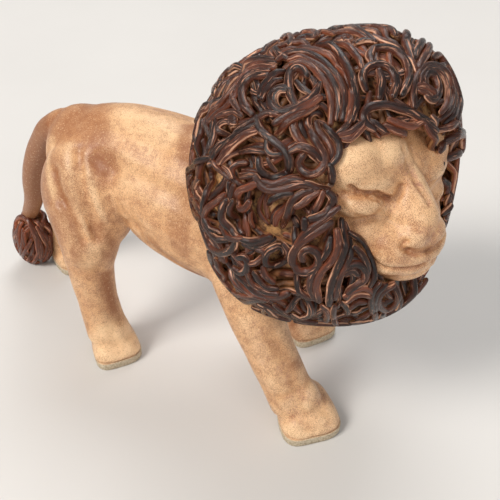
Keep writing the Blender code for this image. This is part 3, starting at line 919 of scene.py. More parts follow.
# Coils that the photograph shows, from the lowest to the topmost: thickness, tone and pixels
COILS_SEEN = [
    # Left edge, from the crown down
    ("plain", "dark", [(217, 98), (209, 104), (202, 113), (198, 122)]),
    ("plain", "dark", [(201, 121), (198, 132), (196, 143), (194, 154)]),
    ("plain", "dark", [(205, 122), (203, 133), (199, 145), (197, 155)]),
    ("plain", "brown", [(209, 120), (208, 132), (208, 142), (206, 151)]),
    ("plain", "dark", [(214, 120), (213, 131), (212, 141), (210, 150)]),
    ("plain", "dark", [(219, 119), (217, 129), (216, 138), (214, 147)]),
    ("plain", "dark", [
        (276, 45), (268, 50), (262, 57), (250, 61), (240, 66), (230, 72), (223, 79), (220, 88),
    ]),
    ("plain", "brown", [
        (274, 62), (258, 61), (246, 65), (236, 71), (227, 80), (221, 90), (213, 101), (205, 112),
        (200, 122),
    ]),
    ("plain", "brown", [
        (276, 66), (260, 65), (249, 69), (239, 75), (230, 86), (220, 98), (210, 109), (204, 120),
    ]),
    ("plain", "red", [
        (275, 70), (261, 69), (250, 73), (242, 81), (234, 91), (224, 103), (214, 113), (208, 124),
    ]),
    ("plain", "brown", [
        (270, 73), (257, 73), (248, 78), (242, 86), (238, 96), (230, 106), (220, 114), (212, 122),
    ]),
    ("thick", "dark", [(268, 77), (257, 77), (249, 81), (244, 88), (243, 97), (246, 107), (252, 114)]),
    ("plain", "brown", [(238, 90), (234, 97), (236, 105), (241, 112)]),
    ("thick", "dark", [(222, 84), (217, 89), (216, 95)]),
    ("plain", "brown", [(256, 122), (262, 117), (269, 114), (278, 116)]),
    ("plain", "brown", [(220, 118), (228, 114), (237, 113), (243, 117)]),
    ("plain", "brown", [(232, 124), (233, 118), (237, 121)]),
    ("thick", "dark", [(283, 71), (275, 76), (268, 83), (263, 91), (261, 98)]),
    ("plain", "dark", [(281, 79), (273, 85), (267, 92), (264, 100)]),
    # Top of the crown
    ("plain", "brown", [(283, 42), (288, 37), (292, 41), (290, 47)]),
    ("plain", "brown", [(294, 40), (302, 35), (312, 34), (318, 38)]),
    ("plain", "brown", [(314, 40), (320, 35), (327, 35), (333, 37)]),
    ("plain", "brown", [(281, 49), (292, 45), (304, 44), (312, 47)]),
    ("thick", "dark", [(300, 41), (307, 39), (313, 40)]),
    ("plain", "dark", [(288, 60), (281, 57), (276, 51)]),
    ("plain", "brown", [(334, 36), (346, 34), (358, 37), (366, 42)]),
    ("thick", "dark", [(330, 33), (339, 29), (349, 29), (359, 33), (368, 39), (374, 44)]),
    ("plain", "brown", [(366, 33), (376, 34), (386, 41), (396, 46)]),
    ("plain", "brown", [(362, 27), (372, 26), (381, 31), (388, 38), (396, 43)]),
    ("thick", "dark", [(352, 26), (362, 22), (372, 21), (382, 25), (389, 31), (394, 37)]),
    ("plain", "red", [(343, 57), (349, 64), (353, 74), (356, 86), (356, 98)]),
    ("plain", "brown", [(336, 42), (346, 47), (354, 54), (359, 62), (361, 70)]),
    ("thick", "dark", [(357, 45), (363, 43), (370, 44)]),
    ("thick", "brown", [(372, 51), (369, 58), (371, 66)]),
    # Ring, loop and crossing coils on the near side of the crown
    ("plain", "dark", [(287, 93), (280, 93), (275, 99), (276, 106), (282, 110), (290, 110)]),
    ("plain", "dark", [
        (291, 92), (284, 89), (276, 91), (271, 98), (272, 107), (279, 113), (289, 113), (296, 109),
    ]),
    ("plain", "dark", [(297, 83), (303, 90), (311, 96)]),
    ("plain", "dark", [(320, 86), (317, 94), (310, 101)]),
    ("thick", "dark", [(296, 106), (291, 96), (289, 84), (291, 73), (297, 69), (303, 71), (307, 77)]),
    ("plain", "red", [(316, 106), (303, 114), (291, 121), (281, 128), (274, 131)]),
    ("thick", "red", [(319, 99), (307, 106), (294, 113), (283, 119), (276, 124)]),
    ("thick", "brown", [(319, 88), (314, 95), (304, 103), (292, 109), (281, 113), (273, 115)]),
    # The sweep over the brow
    ("plain", "brown", [(318, 75), (327, 83), (331, 88)]),
    ("plain", "red", [
        (292, 66), (302, 64), (312, 69), (320, 77), (327, 88), (331, 100), (332, 112), (331, 122),
    ]),
    ("plain", "brown", [
        (290, 62), (300, 59), (312, 64), (322, 70), (330, 79), (336, 92), (339, 105), (337, 118),
    ]),
    ("plain", "brown", [
        (279, 62), (288, 56), (298, 54), (310, 56), (320, 61), (330, 70), (338, 80), (343, 92),
        (344, 105), (342, 120),
    ]),
    ("plain", "red", [
        (284, 54), (296, 50), (308, 51), (322, 54), (334, 60), (343, 69), (349, 80), (351, 95),
        (350, 110), (347, 122),
    ]),
    ("thick", "dark", [
        (319, 42), (328, 45), (337, 53), (343, 61), (348, 70), (352, 80), (354, 92), (355, 106),
        (352, 120),
    ]),
    ("plain", "brown", [(350, 119), (346, 127), (338, 134)]),
    ("plain", "brown", [(363, 122), (357, 128), (349, 133), (340, 136)]),
    ("plain", "red", [(362, 128), (356, 134), (349, 140), (343, 140)]),
    # Over the forehead
    ("plain", "brown", [(372, 39), (384, 44), (396, 48), (405, 54), (411, 62), (414, 72)]),
    ("thick", "dark", [(378, 73), (381, 82), (380, 91), (378, 99)]),
    ("thick", "dark", [
        (374, 50), (385, 49), (395, 52), (402, 58), (407, 67), (408, 78), (405, 88), (401, 95),
    ]),
    ("thick", "dark", [
        (366, 88), (362, 80), (364, 72), (371, 67), (381, 66), (389, 70), (394, 78), (395, 87),
        (392, 97),
    ]),
    ("plain", "brown", [(384, 127), (394, 131), (404, 133), (414, 131)]),
    ("plain", "red", [(388, 121), (399, 125), (410, 127), (420, 123)]),
    ("thick", "dark", [(370, 122), (377, 127), (382, 131)]),
    ("thick", "dark", [
        (372, 130), (365, 124), (363, 116), (367, 109), (376, 106), (387, 106), (398, 109), (409, 113),
        (420, 119), (430, 124),
    ]),
    # Stubs and the spiral on the far side
    ("plain", "dark", [(412, 38), (414, 46), (415, 54)]),
    ("thick", "dark", [(405, 34), (406, 43), (409, 52), (411, 60)]),
    ("thick", "dark", [(421, 43), (417, 50), (414, 58)]),
    ("thick", "brown", [(429, 45), (426, 54), (421, 62), (417, 70)]),
    ("plain", "brown", [(433, 57), (440, 55), (446, 57), (446, 63), (439, 68)]),
    ("thick", "dark", [(448, 62), (452, 70), (451, 78)]),
    ("thick", "dark", [(452, 80), (457, 89), (459, 99), (457, 110), (454, 121)]),
    ("plain", "dark", [(450, 90), (453, 100), (452, 112), (448, 122)]),
    ("plain", "brown", [(428, 106), (434, 112), (441, 119)]),
    ("plain", "brown", [
        (412, 108), (412, 95), (413, 84), (417, 74), (424, 67), (433, 65), (441, 69), (447, 77),
        (450, 88), (451, 99), (448, 110), (442, 118),
    ]),
    ("plain", "brown", [
        (418, 85), (420, 76), (426, 70), (433, 69), (440, 74), (444, 82), (446, 93), (445, 104),
        (440, 113),
    ]),
    ("thick", "dark", [
        (424, 86), (424, 78), (428, 73), (434, 75), (437, 82), (438, 90), (435, 98), (429, 101),
        (425, 98),
    ]),
    ("plain", "brown", [(416, 92), (423, 94), (428, 97)]),
    ("thick", "brown", [(414, 88), (421, 87), (428, 90), (432, 93)]),
    # Far side of the face
    ("plain", "brown", [(420, 121), (428, 127), (436, 133), (443, 140), (449, 144)]),
    ("plain", "brown", [(430, 118), (438, 125), (447, 128), (454, 123)]),
    ("plain", "brown", [(424, 127), (430, 135), (437, 142), (445, 147)]),
    ("plain", "dark", [(456, 131), (463, 134), (466, 142), (463, 151), (455, 159)]),
    ("thick", "brown", [
        (444, 150), (450, 142), (456, 136), (462, 136), (464, 143), (460, 151), (453, 157), (446, 159),
    ]),
    ("thick", "dark", [(449, 163), (448, 171)]),
    ("thick", "dark", [(455, 180), (459, 186), (458, 193)]),
    ("thick", "dark", [(457, 198), (455, 205)]),
    ("thick", "dark", [(450, 206), (448, 214)]),
    # Near side, level with the eye
    ("plain", "brown", [(237, 124), (229, 122), (222, 125), (220, 131), (225, 134)]),
    ("plain", "dark", [(257, 120), (247, 126), (238, 132), (229, 139), (220, 147), (214, 154)]),
    ("plain", "dark", [(259, 125), (249, 129), (239, 135), (230, 142), (221, 150), (216, 158)]),
    ("plain", "red", [(243, 143), (235, 149), (228, 156), (223, 162)]),
    ("thick", "red", [(257, 132), (248, 134), (240, 140), (232, 147), (226, 154), (221, 162)]),
    ("thin", "brown", [(242, 145), (254, 144), (266, 144)]),
    ("thin", "brown", [(240, 148), (254, 147), (267, 148)]),
    ("thin", "brown", [(238, 152), (252, 151), (268, 153)]),
    ("plain", "dark", [(268, 142), (268, 150), (273, 155), (281, 155)]),
    ("thin", "brown", [(269, 159), (272, 166), (276, 171)]),
    ("thick", "dark", [
        (258, 119), (260, 128), (267, 136), (276, 143), (284, 150), (289, 159), (289, 168), (283, 175),
        (274, 178), (266, 176), (260, 169), (259, 160),
    ]),
    ("thin", "brown", [(239, 170), (247, 170), (254, 171)]),
    ("thin", "brown", [(238, 174), (247, 173), (255, 174)]),
    ("thin", "brown", [(239, 178), (247, 177), (254, 177)]),
    ("plain", "brown", [
        (243, 162), (236, 163), (231, 169), (231, 178), (236, 184), (244, 187), (252, 184), (257, 178),
    ]),
    ("plain", "red", [
        (258, 183), (250, 187), (242, 190), (236, 196), (235, 203), (239, 209), (245, 208), (249, 202),
    ]),
    ("plain", "brown", [(264, 181), (273, 184), (283, 181), (292, 178), (300, 176)]),
    ("plain", "red", [(270, 186), (282, 183), (292, 180), (301, 181), (312, 184), (322, 187)]),
    ("thick", "brown", [
        (257, 177), (261, 184), (268, 189), (278, 190), (288, 188), (298, 185), (308, 185), (318, 189),
        (328, 190),
    ]),
    # Loops beside the face
    ("plain", "brown", [
        (316, 121), (319, 130), (325, 137), (330, 145), (332, 154), (329, 163), (327, 172),
    ]),
    ("plain", "dark", [(325, 126), (331, 134), (337, 141), (339, 150), (337, 158), (331, 165)]),
    ("thick", "dark", [(291, 152), (298, 148), (307, 149), (315, 153), (320, 159)]),
    ("thick", "brown", [
        (311, 132), (315, 140), (320, 148), (324, 156), (324, 165), (318, 172), (309, 174), (302, 170),
        (299, 162), (303, 156),
    ]),
    ("thick", "dark", [(330, 166), (332, 173), (332, 181)]),
    # Left edge, lower half
    ("plain", "dark", [
        (204, 157), (196, 163), (189, 171), (185, 181), (185, 192), (188, 202), (194, 210), (201, 219),
        (207, 228),
    ]),
    ("plain", "brown", [
        (191, 176), (190, 187), (193, 197), (199, 206), (205, 214), (209, 223), (214, 231), (221, 238),
    ]),
    ("plain", "dark", [(217, 171), (215, 181), (210, 189), (206, 197)]),
    ("plain", "brown", [(222, 169), (220, 178), (217, 186), (211, 193), (206, 201)]),
    ("plain", "dark", [
        (213, 163), (206, 165), (201, 171), (201, 179), (205, 187), (206, 197), (205, 206), (206, 216),
        (211, 226), (218, 234),
    ]),
    ("plain", "brown", [(216, 163), (220, 171), (226, 179)]),
    ("thin", "red", [(223, 167), (230, 171), (233, 177)]),
    ("plain", "brown", [(229, 183), (227, 193), (225, 203)]),
    ("plain", "brown", [(234, 186), (231, 196), (229, 206)]),
    ("plain", "red", [(224, 195), (216, 201), (209, 208), (206, 217), (208, 226), (214, 234)]),
    ("plain", "dark", [(234, 201), (230, 209), (230, 218), (234, 227), (241, 234)]),
    ("thick", "dark", [(228, 200), (224, 208), (223, 217), (227, 226), (234, 234), (241, 238)]),
    ("thin", "red", [(257, 196), (253, 205), (252, 214), (256, 222), (262, 229)]),
    ("thin", "red", [(262, 195), (259, 204), (260, 213), (262, 222)]),
    ("thin", "brown", [(248, 214), (247, 222), (249, 230)]),
    ("plain", "brown", [(292, 193), (283, 194), (274, 198), (268, 204)]),
    ("plain", "brown", [(284, 206), (276, 211), (270, 218), (267, 227)]),
    ("plain", "red", [(290, 200), (283, 210), (275, 218), (272, 228)]),
    ("plain", "brown", [(306, 191), (298, 197), (293, 206), (291, 214)]),
    ("plain", "brown", [
        (312, 190), (302, 193), (294, 199), (290, 207), (287, 215), (283, 223), (279, 231),
    ]),
    ("plain", "red", [(318, 192), (310, 197), (303, 203), (297, 206)]),
    ("plain", "brown", [(323, 192), (320, 200), (316, 208)]),
    ("thick", "dark", [(328, 192), (333, 198), (331, 206), (325, 213), (317, 217), (311, 218)]),
    ("thick", "dark", [(293, 221), (297, 228)]),
    ("thick", "dark", [(305, 219), (305, 227)]),
    # Lower left
    ("plain", "brown", [
        (218, 258), (221, 270), (226, 281), (233, 290), (244, 294), (256, 296), (268, 297),
    ]),
    ("plain", "brown", [(226, 256), (231, 266), (237, 276), (244, 285), (253, 292), (264, 296)]),
    ("thick", "dark", [
        (211, 250), (212, 262), (215, 273), (218, 283), (224, 291), (233, 296), (244, 298), (256, 298),
        (266, 298),
    ]),
    ("thick", "brown", [
        (234, 262), (238, 272), (246, 280), (254, 288), (264, 293), (276, 295), (288, 292),
    ]),
    ("plain", "dark", [(209, 226), (215, 235), (223, 240), (232, 242)]),
    ("plain", "brown", [(220, 227), (227, 234), (235, 238), (243, 237)]),
    ("thick", "dark", [
        (204, 226), (208, 237), (213, 247), (221, 252), (230, 250), (236, 244), (237, 239),
    ]),
    ("plain", "dark", [(256, 271), (261, 279), (268, 285), (277, 287)]),
    ("plain", "brown", [(249, 272), (252, 280), (259, 286), (268, 290), (278, 291)]),
    ("plain", "brown", [(262, 268), (267, 275), (274, 280)]),
    ("thick", "dark", [(240, 256), (246, 256), (249, 262), (247, 269), (241, 271), (236, 267)]),
    ("plain", "dark", [(245, 243), (254, 246), (264, 244), (273, 240)]),
    ("thick", "dark", [(243, 238), (252, 241), (261, 240), (271, 236)]),
    ("plain", "brown", [(252, 262), (259, 261), (265, 256), (265, 250), (259, 248)]),
    ("plain", "dark", [
        (283, 246), (288, 253), (286, 262), (280, 268), (272, 269), (267, 263), (267, 254), (272, 248),
        (279, 248), (282, 255), (278, 261),
    ]),
    # The big spiral and the coils that fall beside the chin
    ("plain", "brown", [(296, 268), (295, 278), (298, 287), (305, 293), (313, 298), (320, 302)]),
    ("plain", "red", [
        (333, 226), (330, 236), (324, 246), (320, 256), (316, 266), (311, 276), (310, 286), (313, 294),
    ]),
    ("thick", "brown", [
        (330, 222), (320, 229), (309, 236), (300, 243), (294, 252), (293, 262), (299, 270), (308, 271),
        (316, 266), (319, 258), (316, 251), (308, 248), (302, 252), (303, 258),
    ]),
    ("plain", "brown", [(338, 207), (330, 213), (321, 220), (312, 227), (303, 235), (297, 243)]),
    ("thick", "dark", [(331, 239), (328, 248), (323, 256)]),
    ("plain", "brown", [
        (348, 229), (351, 240), (350, 252), (346, 263), (340, 274), (337, 285), (335, 297),
    ]),
    ("thick", "dark", [
        (343, 224), (344, 235), (344, 247), (341, 258), (336, 269), (332, 280), (330, 291), (329, 302),
    ]),
    ("thick", "red", [
        (337, 231), (338, 242), (335, 253), (329, 262), (321, 270), (317, 279), (316, 289), (319, 298),
    ]),
    ("plain", "dark", [(352, 236), (361, 243), (368, 251), (373, 262), (374, 274), (369, 284)]),
    ("plain", "dark", [(355, 247), (362, 255), (367, 266), (366, 277)]),
    ("thick", "dark", [(346, 271), (352, 268), (356, 272)]),
    ("thick", "brown", [
        (345, 267), (352, 263), (360, 264), (365, 270), (364, 278), (357, 283), (350, 288), (346, 295),
    ]),
    ("plain", "red", [(345, 293), (354, 288), (364, 286), (371, 290)]),
    ("plain", "red", [(347, 299), (356, 293), (366, 293), (373, 297)]),
    ("plain", "brown", [(350, 305), (358, 300), (367, 301)]),
    # Bottom edge
    ("plain", "dark", [(276, 303), (284, 309), (294, 315), (304, 318), (316, 319)]),
    ("plain", "dark", [(296, 318), (310, 321), (324, 323), (338, 325), (350, 322)]),
    ("plain", "brown", [(322, 303), (327, 310), (326, 318)]),
    ("plain", "brown", [(334, 303), (333, 313), (336, 322)]),
    ("plain", "dark", [(342, 300), (347, 308), (345, 317)]),
    ("plain", "dark", [(350, 320), (360, 320), (370, 323), (378, 325)]),
    ("plain", "dark", [(352, 310), (360, 312), (370, 309)]),
    ("plain", "dark", [
        (288, 308), (296, 302), (305, 301), (311, 306), (309, 313), (300, 315), (293, 311),
    ]),
    ("plain", "dark", [(253, 308), (262, 309), (271, 312)]),
    ("plain", "dark", [(260, 302), (268, 307), (277, 314)]),
    ("plain", "dark", [(259, 317), (264, 312), (266, 305)]),
    ("plain", "dark", [(262, 300), (272, 305), (283, 310), (292, 315)]),
    ("thick", "dark", [
        (272, 312), (269, 319), (270, 327), (276, 332), (284, 331), (287, 324), (283, 318), (277, 320),
        (277, 325),
    ]),
    # Under the chin
    ("plain", "dark", [(384, 283), (377, 290), (374, 299), (375, 308)]),
    ("plain", "dark", [(378, 281), (372, 289), (370, 299), (371, 309)]),
    ("plain", "dark", [(401, 285), (404, 293), (401, 301), (395, 308), (388, 312)]),
    ("plain", "dark", [(408, 284), (411, 291), (406, 299), (400, 306)]),
    ("plain", "dark", [(425, 279), (421, 288), (413, 297)]),
    ("thick", "dark", [(421, 280), (416, 288), (409, 296), (403, 304), (396, 310), (386, 314)]),
    ("plain", "brown", [
        (392, 284), (384, 288), (378, 295), (378, 303), (384, 308), (391, 305), (396, 298), (397, 290),
        (391, 288), (386, 293),
    ]),
    ("plain", "dark", [(374, 310), (374, 318), (370, 324)]),
    ("thick", "dark", [(381, 311), (384, 319), (381, 326), (375, 327), (371, 322)]),
]


def in_window(ways, margin):
    """Whether directions from the mane's centre pass through the face's window."""
    out = ways * np.array(MANE_RADII)
    turn = math.radians(-HEAD_TURN_DEG)
    forward = out[:, 0] * math.cos(turn) - out[:, 1] * math.sin(turn)
    left = out[:, 0] * math.sin(turn) + out[:, 1] * math.cos(turn)
    aside = np.degrees(np.arctan2(left, forward))
    up = np.degrees(np.arctan2(out[:, 2], np.hypot(forward, left)))
    up = up + HEAD_TILT_DEG * left / WINDOW_TILT_REACH
    rise = (up - WINDOW_MIDDLE_DEG) / (WINDOW_HALF_HEIGHT_DEG + margin)
    width = WINDOW_HALF_WIDTH_DEG + WINDOW_WIDENING_DEG * rise
    width = np.maximum(width + margin * np.where(left > 0, FAR_SIDE_MARGIN, 1), 1)
    return rise**2 + (aside / width) ** 2 < 1


def outside(skins, places, slack):
    """Which places lie outside these skins, or no deeper in them than slack."""
    clear = np.ones(len(places), dtype=bool)
    for skin in skins:
        for index in np.flatnonzero(clear):
            here = figure(places[index])
            spot, normal, _, gap = skin.find_nearest(here)
            clear[index] = (here - spot).dot(normal) > 0 or gap / MM < slack
    return clear


def make_mane(trunk, face):
    """The core, a loose under layer, curls all over, and the photographed coils last."""
    rng = np.random.default_rng(MANE_SEED)
    mane = Tangle(MANE_CENTRE, MANE_RADII, MANE_BULGES, np.eye(3), MANE_CORE_DEPTH, 8)
    mane.open_gaps(DEEP_GAPS, GAP_DEPTH)
    skins = [skin_of(trunk), skin_of(face)]
    under, front = Coils("mane_under_coils", 6), Coils("mane_front_curls", 12)
    left, right = Coils("mane_left_curls", 8), Coils("mane_right_curls", 10)

    def lay(coils, ways, radius, tone, highest=MANE_HIGHEST):
        start, end = longest_run(outside(skins, mane.places(ways, 3.0), DEEPEST_INSIDE))
        ways = ways[start:end]
        if len(ways) < FEWEST_STEPS:
            return
        uneven = 1 + 0.05 * np.sin(np.arange(len(ways)) * 0.7 + rng.uniform(0, 6))
        radii = tapered(radius, len(ways)) * uneven
        held = mane.lay(ways, radii, highest)
        coils.roll(mane.places(ways, -held), ways, radii, tone, rng.choice(MANE_LINES))

    for _ in range(UNDER_TRIES):
        run = mane.roam(rng, rng.normal(size=3), rng.uniform(30, 64), rng.uniform(-3, 3))
        start, end = longest_run(~in_window(run, 1.5))
        run = run[start:end]
        if len(run) > 8 and mane.gap[mane.near(run[len(run) // 2], 3)[0]].max() < 0.2:
            lay(under, run, rng.uniform(1.7, 2.4), rng.uniform(0, 1))
    view_way = unit(np.array(CAMERA_PLACE) - mane.centre)
    for _ in range(CURL_TRIES):
        start = unit(rng.normal(size=3))
        if start @ view_way > SEEN_SIDE and rng.uniform() > SEEN_SIDE_SHARE:
            continue
        if in_window(start[None], 3)[0] or mane.height[mane.near(start, 2.5)[0]].max() > BEGIN_BELOW:
            continue
        curl = rng.choice([-1, 1]) * rng.uniform(2.5, 7)
        run = mane.roam(rng, start, rng.uniform(30, 58), curl)
        tone, strands = rng.uniform(0, 1), rng.integers(2, 6)
        for strand in range(strands):
            offset = (strand - (strands - 1) / 2) * COIL_PITCH * 1.1
            cut_back = 1 - 0.1 * abs(offset) / COIL_PITCH * (curl * offset < 0)
            path = mane.beside(run, offset)[: max(8, int(len(run) * cut_back))]
            if not in_window(path, 2.5).any():
                radius = rng.uniform(1.7, 2.3)
                shade = np.clip(tone + rng.uniform(-0.2, 0.2), 0, 1)
                lay(left if start[1] > 0 else right, path, radius, shade)
    for thickness, tone, pixels in COILS_SEEN:
        path = smooth_path(mane.seen(pixels) * mane.reach)
        shade = TONES[tone] + rng.uniform(-0.1, 0.1)
        lay(front, unit(path), THICKNESS[thickness], shade, MANE_HIGHEST_SEEN)
    soft = evened(mane.height, mane.ends, 26)
    coils = [group.make() for group in (under, left, right, front)]
    for thing in coils:
        mane.depths(thing, soft)
    return [make_mane_core(mane)], coils


def make_mane_core(mane):
    """The ball of bare clay that shows between the coils."""
    core, ways = make_ball(7)
    core.name = "mane_core"
    gap = np.array([mane.gap[mane.tree.find(way)[1]] for way in ways])
    along, aside, up = ways.T
    swell = np.sin(along * 31 + 3 * np.sin(aside * 17)) * np.sin(up * 29 + 2 * np.sin(along * 13))
    below = MANE_CORE_DEPTH + CORE_SLACK + GAP_DEPTH * gap + 0.5 * swell
    below = np.where(in_window(ways, 1), WINDOW_CORE_DEPTH, below)
    set_corners(core, mane.places(ways, below))
    return core


# The tuft at the end of the tail: a tall ball that leans, narrower at its top
TUFT_SEED = 11
TUFT_CENTRE = (-151.5, 23.5, 27)
TUFT_RADII = (17, 15, 33)
TUFT_AXIS = (0.35, -0.17, 0.92)
TUFT_BULGES = [((0, 0, 1), -0.1)]
TUFT_CORE_DEPTH = 5.5
TUFT_HIGHEST = 1.6
TUFT_COILS = 44

# The turn round the tuft from one coil to the next, in radians
TUFT_TURN = 2.4

# Coils of the tuft that the photograph shows, from the lowest to the topmost
TUFT_SEEN = [
    ("plain", "red", [(22, 262), (30, 264), (38, 261)]),
    ("plain", "red", [(31, 241), (27, 248), (24, 254), (22, 260)]),
    ("plain", "brown", [(33, 246), (32, 253), (28, 260)]),
    ("plain", "red", [(37, 243), (39, 250), (36, 257), (32, 261)]),
    ("plain", "red", [(24, 230), (24, 238), (23, 247), (21, 255)]),
    ("plain", "brown", [(20, 229), (17, 238), (14, 246), (12, 254)]),
    ("plain", "red", [(17, 228), (15, 237), (12, 245), (11, 252), (14, 258)]),
    ("plain", "red", [(48, 236), (49, 245), (47, 253), (43, 260)]),
    ("plain", "brown", [(43, 230), (46, 240), (45, 249), (41, 257)]),
    ("plain", "red", [(24, 220), (30, 223), (35, 230), (38, 238), (41, 247), (40, 256)]),
    ("thick", "red", [
        (17, 229), (17, 222), (21, 218), (27, 220), (31, 226), (34, 233), (37, 241), (38, 251),
    ]),
    ("thick", "red", [(33, 214), (38, 211), (43, 214), (44, 220), (42, 226)]),
    ("plain", "brown", [(28, 216), (33, 218), (38, 223), (41, 230)]),
]


def make_tuft():
    """A hank of coils that hangs from the tail's end and rests on the ground."""
    rng = np.random.default_rng(TUFT_SEED)
    lean = Vector((0, 0, 1)).rotation_difference(Vector(TUFT_AXIS)).to_matrix()
    tuft = Tangle(TUFT_CENTRE, TUFT_RADII, TUFT_BULGES, lean, TUFT_CORE_DEPTH, 6)
    coils = Coils("tuft_coils", 10)

    def lay(ways, radius, tone):
        start, end = longest_run(tuft.places(ways, 1)[:, 2] > 0.6)
        ways = ways[start:end]
        if len(ways) < FEWEST_STEPS:
            return
        radii = tapered(radius, len(ways))
        held = tuft.lay(ways, radii, TUFT_HIGHEST)
        coils.roll(tuft.places(ways, -held), ways, radii, tone, rng.choice(TUFT_LINES))

    for number in range(TUFT_COILS):
        around = number * TUFT_TURN
        top = unit(np.array((math.cos(around), math.sin(around), rng.uniform(-0.3, 1.6))))
        sway = rng.uniform(-0.9, 0.9)
        knots = [(0, top[2], 0.6), (0.5, top[2] - 0.35, 0.9), (1, top[2] - 0.8, 0.8)]
        fall = np.array([
            (math.cos(around + sway * share) * width, math.sin(around + sway * share) * width, level)
            for share, level, width in knots
        ])
        lay(unit(smooth_path(unit(fall) * tuft.reach)), rng.uniform(1.7, 2.3), rng.uniform(0.5, 1))
    for thickness, tone, pixels in TUFT_SEEN:
        lay(unit(smooth_path(tuft.seen(pixels, 1.5) * tuft.reach)), THICKNESS[thickness], TONES[tone])
    soft = evened(tuft.height, tuft.ends, 10)
    hank = coils.make()
    tuft.depths(hank, soft)
    core, ways = make_ball(5)
    core.name = "tuft_core"
    core_places = tuft.places(ways, TUFT_CORE_DEPTH + CORE_SLACK)
    for thing, places in ((hank, corners_of(hank)), (core, core_places)):
        places[:, 2] = np.maximum(places[:, 2], 0)
        set_corners(thing, places)
    return [core], [hank]


# Materials

def nodes_of(name):
    material = bpy.data.materials.new(name)
    material.use_nodes = True
    tree = material.node_tree
    return material, tree, tree.nodes["Principled BSDF"]


def add(tree, kind, inputs=(), **settings):
    """Adds a node; inputs are (socket, value or link)."""
    made = tree.nodes.new(kind)
    for setting, value in settings.items():
        setattr(made, setting, value)
    for socket, value in inputs:
        if isinstance(value, bpy.types.NodeSocket):
            tree.links.new(value, made.inputs[socket])
        else:
            made.inputs[socket].default_value = value
    return made


def figure_place(tree):
    """Object coordinates in figure millimetres, from the scene's own origin."""
    place = add(tree, "ShaderNodeTexCoord").outputs["Object"]
    return add(tree, "ShaderNodeVectorMath", [(0, place), (3, 1 / MM)], operation="SCALE").outputs[0]


def noise(tree, place, scale, detail, rough):
    return add(
        tree,
        "ShaderNodeTexNoise",
        [("Vector", place), ("Scale", scale), ("Detail", detail), ("Roughness", rough)],
    ).outputs["Fac"]


def span(tree, value, low, high, to_low=0, to_high=1):
    """A number taken from one span to another with a soft step."""
    return add(
        tree,
        "ShaderNodeMapRange",
        [("Value", value), ("From Min", low), ("From Max", high), ("To Min", to_low), ("To Max", to_high)],
        interpolation_type="SMOOTHSTEP",
    ).outputs["Result"]


def sums(tree, operation, first, second=0.0):
    return add(tree, "ShaderNodeMath", [(0, first), (1, second)], operation=operation).outputs[0]


def plus(tree, first, second):
    return sums(tree, "ADD", first, second)


def minus(tree, first, second):
    return sums(tree, "SUBTRACT", first, second)


def times(tree, first, second):
    return sums(tree, "MULTIPLY", first, second)


def mix(tree, share, first, second):
    """The first colour, with a share of the second laid over it."""
    sockets = [(0, share), (6, first), (7, second)]
    return add(tree, "ShaderNodeMix", sockets, data_type="RGBA").outputs[2]


def painted(tree, name):
    return add(tree, "ShaderNodeAttribute", attribute_name=name).outputs["Fac"]


def linear(part):
    """One part of a colour as a screen shows it, from 0 to 255, made linear."""
    if part < 10.3:
        return part / 255 / 12.92
    return ((part / 255 + 0.055) / 1.055) ** 2.4


def rgb(red, green, blue):
    return linear(red), linear(green), linear(blue), 1


